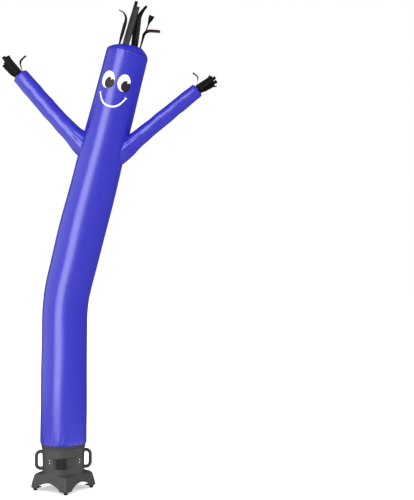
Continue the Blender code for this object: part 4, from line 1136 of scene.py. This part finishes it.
rubber, tree, shader = principled("foot_rubber", (0.007, 0.007, 0.007), 0.62, Specular_IOR_Level=0.3)
emboss(tree, shader, noise(tree, Scale=500.0, Detail=3.0), 0.00025)
FOOT_PROFILE = (
    (0.0000, 0.0012), (0.0050, 0.0012), (0.0062, 0.0000), (0.0106, 0.0000), (0.0119, 0.0005),
    (0.0124, 0.0016), (0.0126, 0.0052), (0.0130, 0.0083), (0.0130, 0.0110), (0.0125, 0.0118),
    (0.0110, 0.0120), (0.0000, 0.0120),
)
BOSS_PROFILE = (
    (0.0, 0.0124), (0.0148, 0.0124), (0.0158, 0.0128), (0.0162, 0.0140), (0.0170, 0.0192),
    (0.0150, 0.0206), (0.0, 0.0206),
)
FOOT_SIDES = 40
BOSS_SIDES = 48
for word in ("right", "back", "left", "front"):
    low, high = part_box("foot_" + word)
    centre = np.array([(low.x + high.x) / 2, (low.y + high.y) / 2, 0.0])
    foot = turned_points(FOOT_PROFILE, centre, FOOT_SIDES)
    add_piece("rubber_foot_" + word, foot, rubber, "feet", "foot_" + word, wrap=True)
    boss = turned_points(BOSS_PROFILE, centre, BOSS_SIDES)
    add_piece("foot_boss_" + word, boss, housing_plastic, "housing", wrap=True)

steel, tree, shader = principled("bright_steel", (0.72, 0.72, 0.73), 0.22, Metallic=1.0)
emboss(tree, shader, noise(tree, Scale=800.0, Detail=2.0), 0.00003)
SCREW_RADIUS = 0.0036
SCREW_RISE = 0.0022
SCREW_EDGE = 0.0004
SCREW_GAP = 0.0003
SCREW_SIDES = 24
BARREL_SCREWS = (("upper", 0.2138), ("lower", 0.1952))
COLLAR_SCREW = (0.1489, 0.3335)


def screw_points(azimuth, seat, height):
    """A domed screw head on the barrel: a quarter round turned about a line that points outward."""
    bend = np.linspace(0.0, math.pi / 2, 9)
    rim = np.concatenate(([0.0, SCREW_RADIUS], SCREW_RADIUS * np.cos(bend)))[:, None]
    out = np.concatenate(([0.0, 0.0], SCREW_EDGE + (SCREW_RISE - SCREW_EDGE) * np.sin(bend)))[:, None]
    turn = (2 * math.pi * np.arange(SCREW_SIDES) / SCREW_SIDES)[None, :]
    way = math.radians(azimuth)
    outward = np.array([math.sin(way), -math.cos(way), 0.0])
    sideways = np.array([math.cos(way), math.sin(way), 0.0])
    upward = np.array([0.0, 0.0, 1.0])
    centre = AXIS + seat * outward + height * upward
    points = (rim * np.cos(turn))[..., None] * sideways + (rim * np.sin(turn))[..., None] * upward
    return centre + points + (out + 0 * turn)[..., None] * outward


zinc, tree, shader = principled("zinc_plate", (0.90, 0.90, 0.90), 0.35, Metallic=0.35)
emboss(tree, shader, noise(tree, Scale=600.0, Detail=2.0), 0.00004)
places = []
for corner, azimuth in enumerate((-45.0, 45.0, 135.0, 225.0)):
    for word, height in BARREL_SCREWS:
        places.append(("barrel_screw_%s_%d" % (word, corner), azimuth, barrel_radius(height), height))
for index, azimuth in enumerate((-28.0, 28.0, 152.0, 208.0)):
    places.append(("collar_screw_%d" % index, azimuth, *COLLAR_SCREW))
for node, azimuth, seat, height in places:
    head = screw_points(azimuth, seat + SCREW_GAP, height)
    add_piece(node + "_head", head, zinc, "steel", node, wrap=True)
trim = moulded("black_trim", (0.014, 0.014, 0.014), 0.45, 1200.0)
for name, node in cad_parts.items():
    if node.hide_render:
        continue
    finish = trim if name in ("intake_guard", "cable_gland") else steel
    node.data.materials.clear()
    node.data.materials.append(finish)
